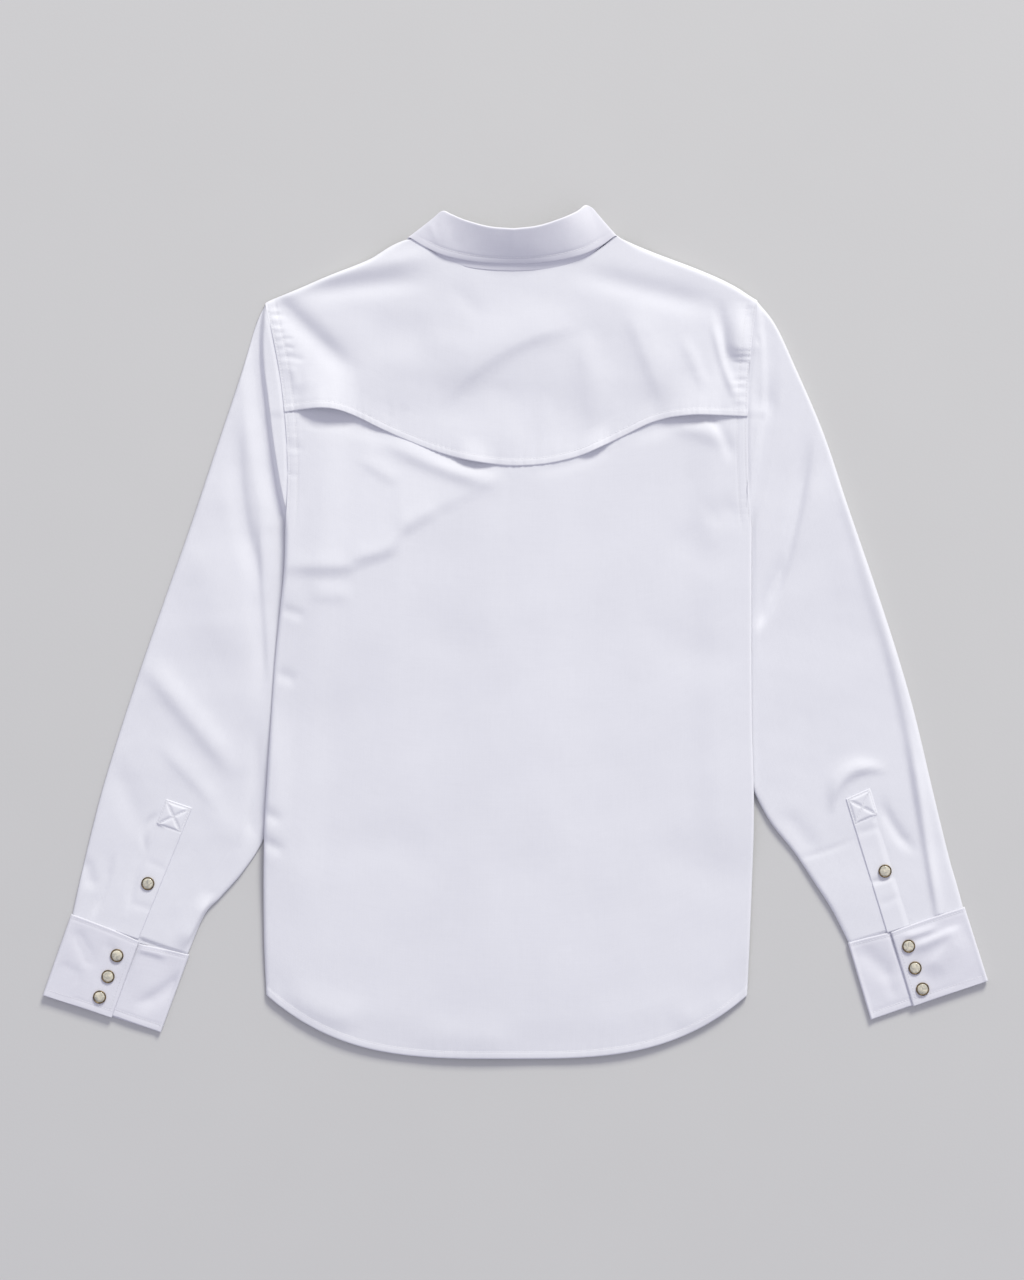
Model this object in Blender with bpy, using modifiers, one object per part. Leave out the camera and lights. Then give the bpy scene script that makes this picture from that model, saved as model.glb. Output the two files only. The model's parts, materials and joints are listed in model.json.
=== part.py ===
"""White western dress shirt, laid flat and face down.

The wearer's back faces up, the collar points along +Y and the tail hem along -Y. The floor is z = 0
and the origin is the middle of the outline on the floor. Every cloth piece is an open surface, lofted
from the rows of a short table or from a formula, that Solidify turns into a wall. Lengths in this file
are millimetres, and MM turns them into metres where a mesh or a place is handed to Blender.
"""
import math

import bpy
import numpy as np

MM = 0.001

# --- Driving sizes --------------------------------------------------------------------------------
CLOTH = 1.0                  # wall of one ply
INTERLINED = 1.3             # wall of collar, cuffs and bands
GAP = 0.3                    # clearance at every seam and between plies
SLEEVE_RISE = 3.2            # outer height of a flattened sleeve
SNAP_RADIUS = 6.25           # rim of a snap cap
SNAP_RISE = 2.2              # height of a snap cap
SNAP_STEPS = 16
MERGE_DISTANCE = 0.01        # points of a turned piece this close to its axis become one
BAND_LIFT = SNAP_RISE + GAP  # underside of the front band, standing on its snaps
COLLAR_POINT_LIFT = 2.9      # underside of the fronts over the collar points
BACK_HEIGHT = 5.0            # upper face of the back where nothing bulky lies under it
BACK_OVER_BAND = 1.7         # how much higher it lies over the front band
BACK_OVER_SLEEVE = 0.9       # over a tucked sleeve
BACK_OVER_COLLAR = 1.5       # and over the collar
TUCK = 36.0                  # reach of the sleeve under the side of the body
TUCK_RAMP = 26.0             # width over which the front comes down to the floor again
# y at the start and at the end of the lower ramp and of the upper ramp, on the left and on the right
TUCK_SPANS = (
    (-280.0, -220.0, 250.0, 200.0),
    (-232.0, -172.0, 250.0, 200.0),
)

SHOULDER_LEFT = (-235.8, 309.0)
SHOULDER_RIGHT = (227.6, 312.0)
UNDERARM_Y = 97.0
NECK_CORNER_X = 94.0         # where the shoulder line meets the neck seam
NECK_CORNER_Y = 366.0
NECK_SEAM_Y = 340.0          # centre of the back neck seam
FRONT_NECK_Y = 300.0         # centre of the front neck seam
NECK_POWER = 2.2             # how square the neck curve is
HEM_SIDE_Y = -340.0          # hem at the side seams
TAIL_DROP = 61.5             # tail below the side seams
TAIL_POWER = 3.3             # squareness of the tail
TAIL_CENTRE_X = -8.0
TAIL_HALF_WIDTH = 228.0
FRONT_INSET = 3.0            # the front lies this far inside the back's outline

BAND_HALF_WIDTH = 16.0       # front band
BAND_HEM_INSET = 4.0         # its lower end lies this far above the back's hem
BAND_RAMP = (28.0, 2.0)      # distances beside the band between which the left front rises to it
OVER_BAND_X = (60.0, 26.0)   # distances from the middle between which the other plies rise over the band
COLLAR_POINTS_Y = (225.0, 280.0)   # between these the fronts rise onto the collar points
COLLAR_POINTS_X = (150.0, 112.0)
BACK_COLLAR_Y = (214.0, 262.0)     # and between these the back rises over the collar
BACK_COLLAR_X = (200.0, 120.0)
FRONT_OVERLAP = 14.0         # reach of the right front past the centre line
FRONT_SNAP_TOP_Y = 262.0
FRONT_SNAP_PITCH = 88.0
FRONT_SNAPS = 7
COLLAR_SNAP = (2.0, 318.0, 3.0)  # x, y and height of the seat of the collar stand's snap

# Grid of the body's plies: distances of the outer columns from each edge, X of the middle ones,
# numbers of spans between rows
SIDE_COLUMNS = (0.0, 8.0, 20.0, 36.0, 62.0)
MIDDLE_COLUMNS = (-132.0, -96.0, -60.0, -26.0, 0.0, 26.0, 60.0, 96.0, 132.0)
FIXED_HALF_WIDTH = 130.0     # columns nearer the middle than this stay where they are
END_CLEARANCE = 3.0          # a front has no column nearer than this to its inner edge
BACK_ROWS = 14               # spans from the hem to the yoke's edge
YOKE_ROWS = 7                # spans from there to the top
FRONT_ROWS = 19
BAND_ROWS = 8

# --- Outline of the body: side edges from hem to underarm, one row for each height ----------------
# y, left x, right x
SIDES = (
    (-345.0, -234.5, 218.0),
    (-280.0, -237.0, 221.0),
    (-195.0, -236.5, 224.0),
    (-144.0, -234.0, 224.0),
    (-90.0, -230.5, 222.5),
    (-30.0, -226.5, 222.0),
    (20.0, -221.5, 222.0),
    (60.0, -217.5, 222.0),
    (UNDERARM_Y, -216.4, 222.2),
)
ARMHOLE_BOW = (9.3, -7.0)    # how far the left and right armhole seams bow in towards the body

# Lower edge of the back yoke, left to right
# x, y
YOKE_EDGE = (
    (-216.0, 208.0),
    (-188.0, 211.5),
    (-160.0, 208.5),
    (-108.0, 185.5),
    (-60.0, 167.5),
    (0.5, 156.0),
    (55.0, 165.5),
    (105.0, 186.5),
    (148.0, 204.0),
    (177.0, 207.0),
    (217.0, 204.0),
)
# Where the loose yoke edge stands off the back, between its tacks
# centre x, half width, lift
YOKE_VENTS = (
    (-158.0, 46.0, 3.4),
    (-34.0, 26.0, 1.2),
    (76.0, 24.0, 1.0),
    (162.0, 48.0, 2.0),
)
YOKE_VENT_REACH = 62.0       # how far up from the edge a vent fades out

# Largest folds of the back: soft grooves and ridges along a line
# x0, y0, x1, y1, half width, rise
BACK_FOLDS = (
    (-217.0, 310.0, -157.0, 262.0, 20.0, -1.4),
    (-185.0, 329.0, -100.0, 342.0, 22.0, -0.8),
    (-120.0, 168.0, -24.0, 128.0, 24.0, -1.0),
    (-216.0, 52.0, -150.0, 58.0, 26.0, -1.0),
    (186.0, 230.0, 206.0, 208.0, 18.0, -1.0),
    (116.0, 284.0, 138.0, 222.0, 24.0, -0.8),
    (150.0, -20.0, 60.0, -90.0, 40.0, 0.9),
    (-150.0, -180.0, -40.0, -260.0, 44.0, 0.9),
)

# --- Sleeves: one row for each ring, from the armhole to the cuff ---------------------------------
# outer x, outer y, inner x, inner y, bow, crown
LEFT_SLEEVE = (
    (-236.3, 309.0, -209.0, 90.0, 5.2, 2.4),
    (-258.0, 243.0, -208.5, 64.0, 1.0, 2.0),
    (-283.0, 168.0, -202.0, 28.0, 0.0, 1.2),
    (-306.0, 99.0, -196.0, -7.0, 0.0, 0.8),
    (-328.5, 35.0, -197.0, -45.0, 0.0, 0.8),
    (-349.5, -25.0, -205.0, -90.0, 0.0, 0.8),
    (-370.0, -87.0, -218.0, -140.0, 0.0, 0.6),
    (-387.5, -144.0, -236.0, -193.0, 0.0, 0.0),
    (-398.0, -184.0, -256.0, -225.0, 0.0, 0.0),
    (-405.5, -215.0, -277.0, -249.0, 0.0, 0.0),
    (-411.5, -241.0, -293.0, -267.0, 0.0, 0.0),
    (-417.5, -264.4, -306.6, -302.9, 0.0, 0.0),
)
RIGHT_SLEEVE = (
    (228.1, 312.0, 213.0, 90.0, -2.1, 2.4),
    (262.0, 252.0, 212.5, 64.0, -1.0, 2.0),
    (289.5, 188.0, 205.0, 28.0, 0.0, 1.2),
    (313.0, 118.0, 196.0, -5.0, 0.0, 0.8),
    (336.0, 51.0, 194.0, -38.0, 0.0, 0.8),
    (357.0, -13.0, 200.0, -76.0, 0.0, 0.8),
    (374.5, -73.0, 213.0, -118.0, 0.0, 0.6),
    (390.0, -138.0, 238.0, -170.0, 0.0, 0.0),
    (400.0, -180.0, 262.0, -207.0, 0.0, 0.0),
    (409.0, -216.0, 282.0, -237.0, 0.0, 0.0),
    (416.0, -240.0, 298.0, -262.0, 0.0, 0.0),
    (422.2, -257.8, 312.3, -291.6, 0.0, 0.0),
)
CROWN_SHARE = 0.58           # share of a ring, from its outer edge, over which the crown rises
# Ring of a flattened sleeve, outer edge to inner edge over the top and back underneath
# fraction of the width, fraction of the height
SLEEVE_RING = (
    (0.0, 0.50),
    (0.012, 0.90),
    (0.05, 1.0),
    (0.20, 1.0),
    (0.36, 1.0),
    (0.52, 1.0),
    (0.68, 1.0),
    (0.84, 1.0),
    (0.95, 1.0),
    (0.988, 0.90),
    (1.0, 0.50),
    (0.988, 0.10),
    (0.95, 0.0),
    (0.68, 0.0),
    (0.36, 0.0),
    (0.05, 0.0),
    (0.012, 0.10),
)

# --- Cuffs: four corners of the flat band and the share of the width that the upper end covers ----
# top outer, bottom outer, bottom inner, top inner
LEFT_CUFF = ((-417.8, -265.1), (-444.6, -341.5), (-333.7, -376.5), (-306.9, -303.6))
RIGHT_CUFF = ((422.5, -258.5), (444.6, -328.0), (334.2, -364.7), (312.6, -292.3))
LEFT_CUFF_COVER = 0.587
RIGHT_CUFF_COVER = 0.641
CUFF_UNDERLAP = 0.17         # hidden share of the under end
CUFF_UNDER_TOP = 3.3         # upper face of the under end
CUFF_OVER_TOP = CUFF_UNDER_TOP + GAP + INTERLINED
# Rounded side of a cuff: share of the width from its edge, share of the height
CUFF_EDGE = (
    (0.03, 1.0),
    (0.008, 0.86),
    (0.0, 0.5),
    (0.008, 0.14),
    (0.03, 0.0),
)
CUFF_OVER_SHARES = (1.0, 0.7, 0.35)  # columns of the over end, as shares of what it covers
CUFF_BELOW_SHARES = (0.35, 0.65)     # columns of the underside
CUFF_ROWS = 4

# Sleeve plackets: the two upper corners of the tacked box and the run down to the cuff seam
# corner x, corner y, next corner x, next corner y, run x, run y
LEFT_SLEEVE_PLACKET = (-329.0, -157.0, -304.1, -165.4, -38.5, -94.0)
RIGHT_SLEEVE_PLACKET = (310.7, -157.0, 333.7, -146.6, 32.0, -104.0)
SLEEVE_PLACKET_ROWS = 5

# Snap caps of the sleeves: name, x, y, height of the cloth under them
PLACKET_TOP = SLEEVE_RISE + GAP + INTERLINED
SLEEVE_SNAPS = (
    ("left_placket", -345.5, -236.4, PLACKET_TOP),
    ("left_cuff_1", -374.6, -304.1, CUFF_OVER_TOP),
    ("left_cuff_2", -383.0, -323.8, CUFF_OVER_TOP),
    ("left_cuff_3", -390.9, -343.1, CUFF_OVER_TOP),
    ("right_placket", 347.3, -224.7, PLACKET_TOP),
    ("right_cuff_1", 369.4, -295.2, CUFF_OVER_TOP),
    ("right_cuff_2", 375.5, -315.8, CUFF_OVER_TOP),
    ("right_cuff_3", 382.6, -335.6, CUFF_OVER_TOP),
)

# --- Collar: stations from the centre back round to the centre front ------------------------------
# turn is 0 on the back, where the outside faces up, and 180 on the front, where it faces down
# turn, fold x, fold y, fold z, edge x, edge y, edge z, seam x, seam y, seam z
LEFT_COLLAR = (
    (0.0, -1.5, 380.3, 26.0, -3.3, 347.0, 13.6, -3.0, 340.4, 8.9),
    (0.0, -24.0, 384.0, 23.5, -24.0, 347.4, 13.2, -24.0, 341.9, 8.6),
    (0.0, -46.0, 391.0, 18.5, -46.0, 349.5, 12.2, -45.0, 347.0, 8.2),
    (10.0, -62.0, 396.6, 14.0, -68.0, 353.4, 11.2, -64.0, 354.4, 7.9),
    (40.0, -70.0, 397.4, 11.5, -88.0, 362.0, 10.4, -78.0, 362.8, 7.8),
    (90.0, -74.0, 393.8, 8.0, -101.0, 370.8, 6.0, -88.0, 369.0, 6.2),
    (140.0, -71.0, 386.0, 4.2, -99.0, 358.0, 0.8, -86.0, 366.0, 4.0),
    (180.0, -58.0, 372.0, 2.0, -92.0, 330.0, 0.0, -76.0, 348.0, 3.2),
    (180.0, -36.0, 352.0, 1.5, -80.0, 302.0, 0.0, -52.0, 320.0, 3.2),
    (180.0, -18.0, 341.0, 1.5, -66.0, 284.0, 0.0, -24.0, 304.0, 3.2),
    (180.0, -8.0, 338.0, 1.5, -52.0, 270.0, 0.0, -8.0, 300.4, 3.2),
)
COLLAR_MIRROR_X = -1.5       # middle of the collar
COLLAR_RIGHT_RAISE = 4.0     # the right peak of the fold stands higher than the left
COLLAR_ROWS = 4
STAND_OVERLAP = 20.0         # how far each end of the stand runs past the other at the centre front
STAND_LAP_STATIONS = 5       # stations over which the right end rises onto the left one
STAND_INSET = 1.0            # the stand's top lies this far inside the leaf's wall
STAND_DROP = 2.6             # and this far below the fold
COLLAR_BULGE = 1.6           # roll of the leaf between fold and edge

# --- Snap cap: a pearl inside a turned rim --------------------------------------------------------
RIM_WALL = 1.35              # width of the rim
# distance in from the rim's radius, height
RIM_PROFILE = (
    (0.9, 1.7),
    (0.25, 1.2),
    (0.0, 0.5),
    (0.3, 0.0),
    (RIM_WALL, 0.0),
    (RIM_WALL, 1.4),
)
# share of the pearl's radius, height
PEARL_PROFILE = (
    (0.0, SNAP_RISE),
    (0.45, SNAP_RISE - 0.12),
    (0.8, SNAP_RISE - 0.42),
    (1.0, 1.2),
    (1.0, 0.0),
    (0.0, 0.0),
)

# Finish of each material: colour, roughness, metallic
COTTON = ((0.78, 0.78, 0.82), 0.85, 0.0)
INTERLINED_COTTON = ((0.74, 0.74, 0.79), 0.8, 0.0)
PEARL = ((0.62, 0.59, 0.52), 0.3, 0.0)
ANTIQUE_METAL = ((0.22, 0.19, 0.16), 0.4, 1.0)


def clear_scene():
    """Remove every object that the start-up file holds."""
    for item in list(bpy.data.objects):
        bpy.data.objects.remove(item, do_unlink=True)


def make_material(name, finish):
    """Principled material of one plain finish."""
    colour, roughness, metallic = finish
    material = bpy.data.materials.new(name)
    material.use_nodes = True
    shader = material.node_tree.nodes["Principled BSDF"]
    shader.inputs["Base Color"].default_value = (*colour, 1.0)
    shader.inputs["Roughness"].default_value = roughness
    shader.inputs["Metallic"].default_value = metallic
    return material


def link(item, collection):
    """Put an object into a collection and hand it back."""
    collection.objects.link(item)
    return item


def ramp(value, start, end):
    """0 at start, 1 at end, straight between them and level beyond them."""
    return np.clip((value - start) / (end - start), 0.0, 1.0)


def smooth_ramp(value, start, end):
    """As ramp, with soft ends."""
    t = ramp(value, start, end)
    return t * t * (3.0 - 2.0 * t)


def soft_curve(x, table):
    """Height of a smooth curve through a table's (x, y) points, joined by cosine-eased steps."""
    table = np.array(table)
    index = np.clip(np.searchsorted(table[:, 0], x) - 1, 0, len(table) - 2)
    start, end = table[index], table[index + 1]
    t = np.clip((x - start[..., 0]) / (end[..., 0] - start[..., 0]), 0.0, 1.0)
    eased = 0.5 * t + 0.5 * t * t * (3.0 - 2.0 * t)
    return start[..., 1] + (end[..., 1] - start[..., 1]) * eased


def refine(rows):
    """Rows of a table with one more row halfway between each pair, on a Catmull-Rom curve."""
    rows = np.array(rows)
    padded = np.vstack((2.0 * rows[0] - rows[1], rows, 2.0 * rows[-1] - rows[-2]))
    middle = (9.0 * (padded[1:-2] + padded[2:-1]) - padded[:-3] - padded[3:]) / 16.0
    refined = np.empty((2 * len(rows) - 1, rows.shape[1]))
    refined[0::2] = rows
    refined[1::2] = middle
    return refined


def cloth_wall(name, points, wall, material, collection, closed=False, flip=False):
    """A wall whose outer face is the (rows, columns, 3) grid of points, in millimetres.

    Columns run to +X and rows to +Y on a face that looks up; closed joins the last column to the first, and
    flip turns a grid that runs the other way.
    """
    rows, columns = points.shape[:2]
    spans = columns if closed else columns - 1
    row, column = np.meshgrid(np.arange(rows - 1), np.arange(spans), indexing="ij")
    following = (column + 1) % columns
    faces = np.stack(
        (row * columns + column, row * columns + following,
         (row + 1) * columns + following, (row + 1) * columns + column), axis=-1).reshape(-1, 4)
    if flip:
        faces = faces[:, ::-1]
    mesh = bpy.data.meshes.new(name)
    mesh.from_pydata((points.reshape(-1, 3) * MM).tolist(), [], faces.tolist())
    mesh.materials.append(material)
    mesh.update()
    item = link(bpy.data.objects.new(name, mesh), collection)
    solidify = item.modifiers.new("Wall", "SOLIDIFY")
    solidify.thickness = wall * MM
    solidify.offset = -1.0
    solidify.use_rim = True
    return item


# --- Body -----------------------------------------------------------------------------------------

def armhole_x(y, side):
    """X of the armhole seam at height y: a chord from underarm to shoulder with a parabolic bow."""
    shoulder = SHOULDER_RIGHT if side else SHOULDER_LEFT
    underarm_x = SIDES[-1][1 + side]
    t = np.clip((y - UNDERARM_Y) / (shoulder[1] - UNDERARM_Y), 0.0, 1.0)
    return underarm_x + (shoulder[0] - underarm_x) * t + ARMHOLE_BOW[side] * 4.0 * t * (1.0 - t)


def body_edge_x(y, side):
    """X of the body's left or right edge: the side seam below the underarm, the armhole above it."""
    table = np.array(SIDES)
    seam = np.interp(y, table[:, 0], table[:, 1 + side])
    return np.where(y > UNDERARM_Y, armhole_x(y, side), seam)


def hem_y(x):
    """Shirt-tail hem: level at the sides and dropped in the middle."""
    reach = np.clip(np.abs(x - TAIL_CENTRE_X) / TAIL_HALF_WIDTH, 0.0, 1.0)
    return HEM_SIDE_Y - TAIL_DROP * (1.0 - reach ** TAIL_POWER)


def top_y(x, neck_centre_y):
    """Upper edge of a panel: sloping shoulders and a neck curve between them."""
    shoulder_x = np.where(x < 0.0, -SHOULDER_LEFT[0], SHOULDER_RIGHT[0])
    shoulder_y = np.where(x < 0.0, SHOULDER_LEFT[1], SHOULDER_RIGHT[1])
    slope = (shoulder_y - NECK_CORNER_Y) / (shoulder_x - NECK_CORNER_X)
    shoulder = NECK_CORNER_Y + slope * (np.abs(x) - NECK_CORNER_X)
    reach = np.clip(np.abs(x) / NECK_CORNER_X, 0.0, 1.0)
    neck = neck_centre_y + (NECK_CORNER_Y - neck_centre_y) * reach ** NECK_POWER
    return np.where(np.abs(x) > NECK_CORNER_X, shoulder, neck)


def tuck_raise(x, y):
    """1 where the body lies on a sleeve tucked under its side, 0 where it lies on the floor."""
    sides = []
    for side, inside in enumerate((x - body_edge_x(y, 0), body_edge_x(y, 1) - x)):
        low_start, low_end, high_start, high_end = TUCK_SPANS[side]
        span = ramp(y, low_start, low_end) * ramp(y, high_start, high_end)
        sides.append(ramp(inside, TUCK + TUCK_RAMP, TUCK) * span)
    return np.maximum(*sides)


def fold_rise(x, y, folds):
    """Sum of soft grooves and ridges: each falls off as a raised cosine across its line and past its ends."""
    total = np.zeros_like(x)
    for x0, y0, x1, y1, half_width, rise in folds:
        length = math.hypot(x1 - x0, y1 - y0)
        along = ((x - x0) * (x1 - x0) + (y - y0) * (y1 - y0)) / length
        across = ((x - x0) * (y1 - y0) - (y - y0) * (x1 - x0)) / length
        beyond = np.maximum(np.maximum(-along, along - length), 0.0)
        distance = np.clip(np.hypot(across, beyond) / half_width, 0.0, 1.0)
        total += rise * 0.5 * (1.0 + np.cos(math.pi * distance))
    return total


def front_lift(x, y):
    """Underside of the fronts: on the floor, over the tucked sleeves, over the collar points at the top."""
    over_sleeve = (SLEEVE_RISE + GAP) * tuck_raise(x, y)
    over_collar = COLLAR_POINT_LIFT * ramp(y, *COLLAR_POINTS_Y) * ramp(np.abs(x), *COLLAR_POINTS_X)
    return np.maximum(over_sleeve, over_collar)


def back_top(x, y):
    """Upper face of the back panel: clear of the fronts below, with its largest folds."""
    over_band = BACK_OVER_BAND * ramp(np.abs(x), *OVER_BAND_X)
    over_sleeve = BACK_OVER_SLEEVE * tuck_raise(x, y)
    over_collar = BACK_OVER_COLLAR * ramp(y, *BACK_COLLAR_Y) * ramp(np.abs(x), *BACK_COLLAR_X)
    relaxed = BACK_HEIGHT + np.maximum(over_band, over_sleeve) + over_collar + fold_rise(x, y, BACK_FOLDS)
    return np.maximum(relaxed, front_lift(x, y) + 2.0 * CLOTH + 2.0 * GAP)


def column_places(first, last):
    """Nominal X of the grid columns between two edges: close at the sides, wide over the middle."""
    left = [first + step for step in SIDE_COLUMNS]
    right = [last - step for step in reversed(SIDE_COLUMNS)]
    return np.array(left + list(MIDDLE_COLUMNS) + right)


def place_columns(nominal, y, inset=0.0):
    """Carry nominal columns to the body's real edges at height y, leaving the middle where it is."""
    nominal_left, nominal_right = SHOULDER_LEFT[0], SHOULDER_RIGHT[0]
    left_shift = body_edge_x(y, 0) + inset - nominal_left
    right_shift = body_edge_x(y, 1) - inset - nominal_right
    left_share = ramp(nominal, -FIXED_HALF_WIDTH, nominal_left + SIDE_COLUMNS[-1])
    right_share = ramp(nominal, FIXED_HALF_WIDTH, nominal_right - SIDE_COLUMNS[-1])
    return nominal + left_shift * left_share + right_shift * right_share


def back_rows(nominal):
    """Y of the grid rows of each column: hem to yoke edge, then yoke edge to shoulder or neck."""
    low = hem_y(nominal)
    yoke = soft_curve(nominal, YOKE_EDGE)
    top = top_y(nominal, NECK_SEAM_Y)
    lower_steps = np.linspace(0.0, 1.0, BACK_ROWS + 1)[:, None]
    upper_steps = np.linspace(0.0, 1.0, YOKE_ROWS + 1)[1:, None]
    return np.vstack((low + (yoke - low) * lower_steps, yoke + (top - yoke) * upper_steps))


def back_points():
    """Grid of the back panel's upper face; row BACK_ROWS runs along the yoke's edge."""
    nominal = column_places(SHOULDER_LEFT[0], SHOULDER_RIGHT[0])
    y = back_rows(nominal)
    x = place_columns(np.broadcast_to(nominal, y.shape), y)
    return np.stack((x, y, back_top(x, y)), axis=-1)


def make_back(material, collection):
    """The back panel, from the hem up to the shoulders."""
    return cloth_wall("back", back_points(), CLOTH, material, collection)


def make_back_yoke(material, collection):
    """The yoke is made from the back's own points, moved out, and lifted between its tacks."""
    points = back_points()[BACK_ROWS:].copy()
    x, y = points[..., 0], points[..., 1]
    above_edge = y - soft_curve(x, YOKE_EDGE)
    lift = np.zeros_like(x)
    for centre, half_width, rise in YOKE_VENTS:
        reach = np.clip(np.abs(x - centre) / half_width, 0.0, 1.0)
        lift += rise * (1.0 - reach * reach) ** 2 * smooth_ramp(above_edge, YOKE_VENT_REACH, 0.0)
    points[..., 2] += CLOTH + GAP + lift
    return cloth_wall("back_yoke", points, CLOTH, material, collection)


def front_points(first_x, last_x):
    """X and Y of a front's grid between two places of its width."""
    nominal = column_places(SHOULDER_LEFT[0], SHOULDER_RIGHT[0])
    inner = nominal[(nominal > first_x + END_CLEARANCE) & (nominal < last_x - END_CLEARANCE)]
    nominal = np.concatenate(([first_x], inner, [last_x]))
    low = hem_y(nominal) + FRONT_INSET
    top = top_y(nominal, FRONT_NECK_Y) - 2.0 * FRONT_INSET
    steps = np.linspace(0.0, 1.0, FRONT_ROWS + 1)[:, None]
    y = low + (top - low) * steps
    x = place_columns(np.broadcast_to(nominal, y.shape), y, FRONT_INSET)
    return x, y


def make_front_left(material, collection):
    """The front that ends beside the band and rises to it."""
    x, y = front_points(SHOULDER_LEFT[0], -BAND_HALF_WIDTH - GAP)
    beside_band = BAND_LIFT * ramp(-BAND_HALF_WIDTH - x, *BAND_RAMP)
    z = np.maximum(front_lift(x, y), beside_band) + CLOTH
    return cloth_wall("front_left", np.stack((x, y, z), axis=-1), CLOTH, material, collection)


def make_front_right(material, collection):
    """The front that runs over the band and past the centre line."""
    x, y = front_points(-FRONT_OVERLAP, SHOULDER_RIGHT[0])
    over_band = (BAND_LIFT + INTERLINED + GAP) * ramp(x, *OVER_BAND_X)
    z = np.maximum(front_lift(x, y), over_band) + CLOTH
    return cloth_wall("front_right", np.stack((x, y, z), axis=-1), CLOTH, material, collection)


def make_front_placket(material, collection):
    """Straight band under the centre front, from the neck seam to the hem."""
    low = float(hem_y(np.array(0.0))) + BAND_HEM_INSET
    x, y = np.meshgrid(np.array((-BAND_HALF_WIDTH, 0.0, BAND_HALF_WIDTH)),
                       np.linspace(low, FRONT_NECK_Y - 2.0 * FRONT_INSET, BAND_ROWS + 1))
    z = np.full_like(x, BAND_LIFT + INTERLINED)
    return cloth_wall("front_placket", np.stack((x, y, z), axis=-1), INTERLINED, material, collection)


# --- Sleeves and cuffs ----------------------------------------------------------------------------

def make_sleeve(name, table, material, collection):
    """A flattened tube: each ring runs from the outer edge over the top to the inner edge and back below."""
    rings = []
    for outer_x, outer_y, inner_x, inner_y, bow, crown in table:
        share = np.array([fraction for fraction, _ in SLEEVE_RING])
        height = np.array([level for _, level in SLEEVE_RING])
        x = outer_x + (inner_x - outer_x) * share + bow * 4.0 * share * (1.0 - share)
        y = outer_y + (inner_y - outer_y) * share
        hump = np.sin(math.pi * np.clip(share / CROWN_SHARE, 0.0, 1.0))
        z = SLEEVE_RISE * height + crown * hump * (height == 1.0)
        rings.append(np.stack((x, y, z), axis=-1))
    return cloth_wall(name, np.array(rings), CLOTH, material, collection, closed=True,
                      flip=table[0][0] < 0.0)


def cuff_profile(cover):
    """The band's course across its width, as (share from the outer edge, height) of its outer face."""
    start = cover - CUFF_UNDERLAP
    last = 1.0 - CUFF_EDGE[0][0]
    profile = [(cover * share, CUFF_OVER_TOP) for share in CUFF_OVER_SHARES]
    profile += [(share, CUFF_OVER_TOP * level) for share, level in CUFF_EDGE]
    profile += [(share, 0.0) for share in CUFF_BELOW_SHARES]
    profile += [(1.0 - share, CUFF_UNDER_TOP * level) for share, level in reversed(CUFF_EDGE)]
    return profile + [(0.5 * (last + start), CUFF_UNDER_TOP), (start, CUFF_UNDER_TOP)]


def make_cuff(name, corners, cover, material, collection):
    """A band wrapped round the wrist end, its upper end lying over its under end."""
    top_outer, bottom_outer, bottom_inner, top_inner = (np.array(corner) for corner in corners)
    rows = []
    for step in np.linspace(0.0, 1.0, CUFF_ROWS):
        outer = top_outer + (bottom_outer - top_outer) * step
        inner = top_inner + (bottom_inner - top_inner) * step
        rows.append([(*(outer + (inner - outer) * share), level) for share, level in cuff_profile(cover)])
    return cloth_wall(name, np.array(rows), INTERLINED, material, collection, flip=top_outer[0] > 0.0)


def run_to_line(point, run, line_start, line_end):
    """Where a run from a point meets a line, just short of it by the seam clearance."""
    line = line_end - line_start
    normal = np.array((-line[1], line[0])) / math.hypot(*line)
    reach = np.dot(line_start - point, normal)
    return point + run * (abs(reach) - GAP) / abs(np.dot(run, normal))


def make_sleeve_placket(name, shape, corners, material, collection):
    """A strip on the sleeve, from its tacked box to the top of the cuff."""
    left, right, run = np.array(shape[0:2]), np.array(shape[2:4]), np.array(shape[4:6])
    cuff_start, cuff_end = np.array(corners[0]), np.array(corners[3])
    left_end = run_to_line(left, run, cuff_start, cuff_end)
    right_end = run_to_line(right, run, cuff_start, cuff_end)
    rows = []
    for step in np.linspace(1.0, 0.0, SLEEVE_PLACKET_ROWS):
        rows.append([(*(left + (left_end - left) * step), PLACKET_TOP),
                     (*(right + (right_end - right) * step), PLACKET_TOP)])
    return cloth_wall(name, np.array(rows), INTERLINED, material, collection)


# --- Collar ---------------------------------------------------------------------------------------

def collar_stations():
    """Both halves of the collar in one run, from the right centre front over the back to the left one."""
    left = refine(LEFT_COLLAR)
    right = left[1:].copy()
    for x_column in (1, 4, 7):
        right[:, x_column] = 2.0 * COLLAR_MIRROR_X - right[:, x_column]
    shoulder_share = np.sin(np.linspace(0.0, math.pi, len(left)))[1:]
    right[:, 2] += COLLAR_RIGHT_RAISE * shoulder_share
    right[:, 0] *= -1.0
    stations = np.vstack((left[::-1], right))
    stations[:, 6] = np.maximum(stations[:, 6], 0.0)
    return stations


def station_outward(turn):
    """Direction that the collar's outside faces: up on the back, sideways at the neck, down on the front."""
    angle = np.radians(turn)
    return np.stack((-np.sin(angle), np.zeros_like(angle), np.cos(angle)), axis=-1)


def make_collar_leaf(material, collection):
    """The turned-down leaf, lofted from its lower edge up to the fold."""
    stations = collar_stations()
    fold, edge, outward = stations[:, 1:4], stations[:, 4:7], station_outward(stations[:, 0])
    rows = []
    for step in np.linspace(0.0, 1.0, COLLAR_ROWS):
        bulge = COLLAR_BULGE * math.sin(math.pi * step) * np.clip(outward[:, 2:3], 0.0, 1.0)
        rows.append(edge + (fold - edge) * step + outward * bulge)
    return cloth_wall("collar_leaf", np.array(rows), INTERLINED, material, collection)


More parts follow.
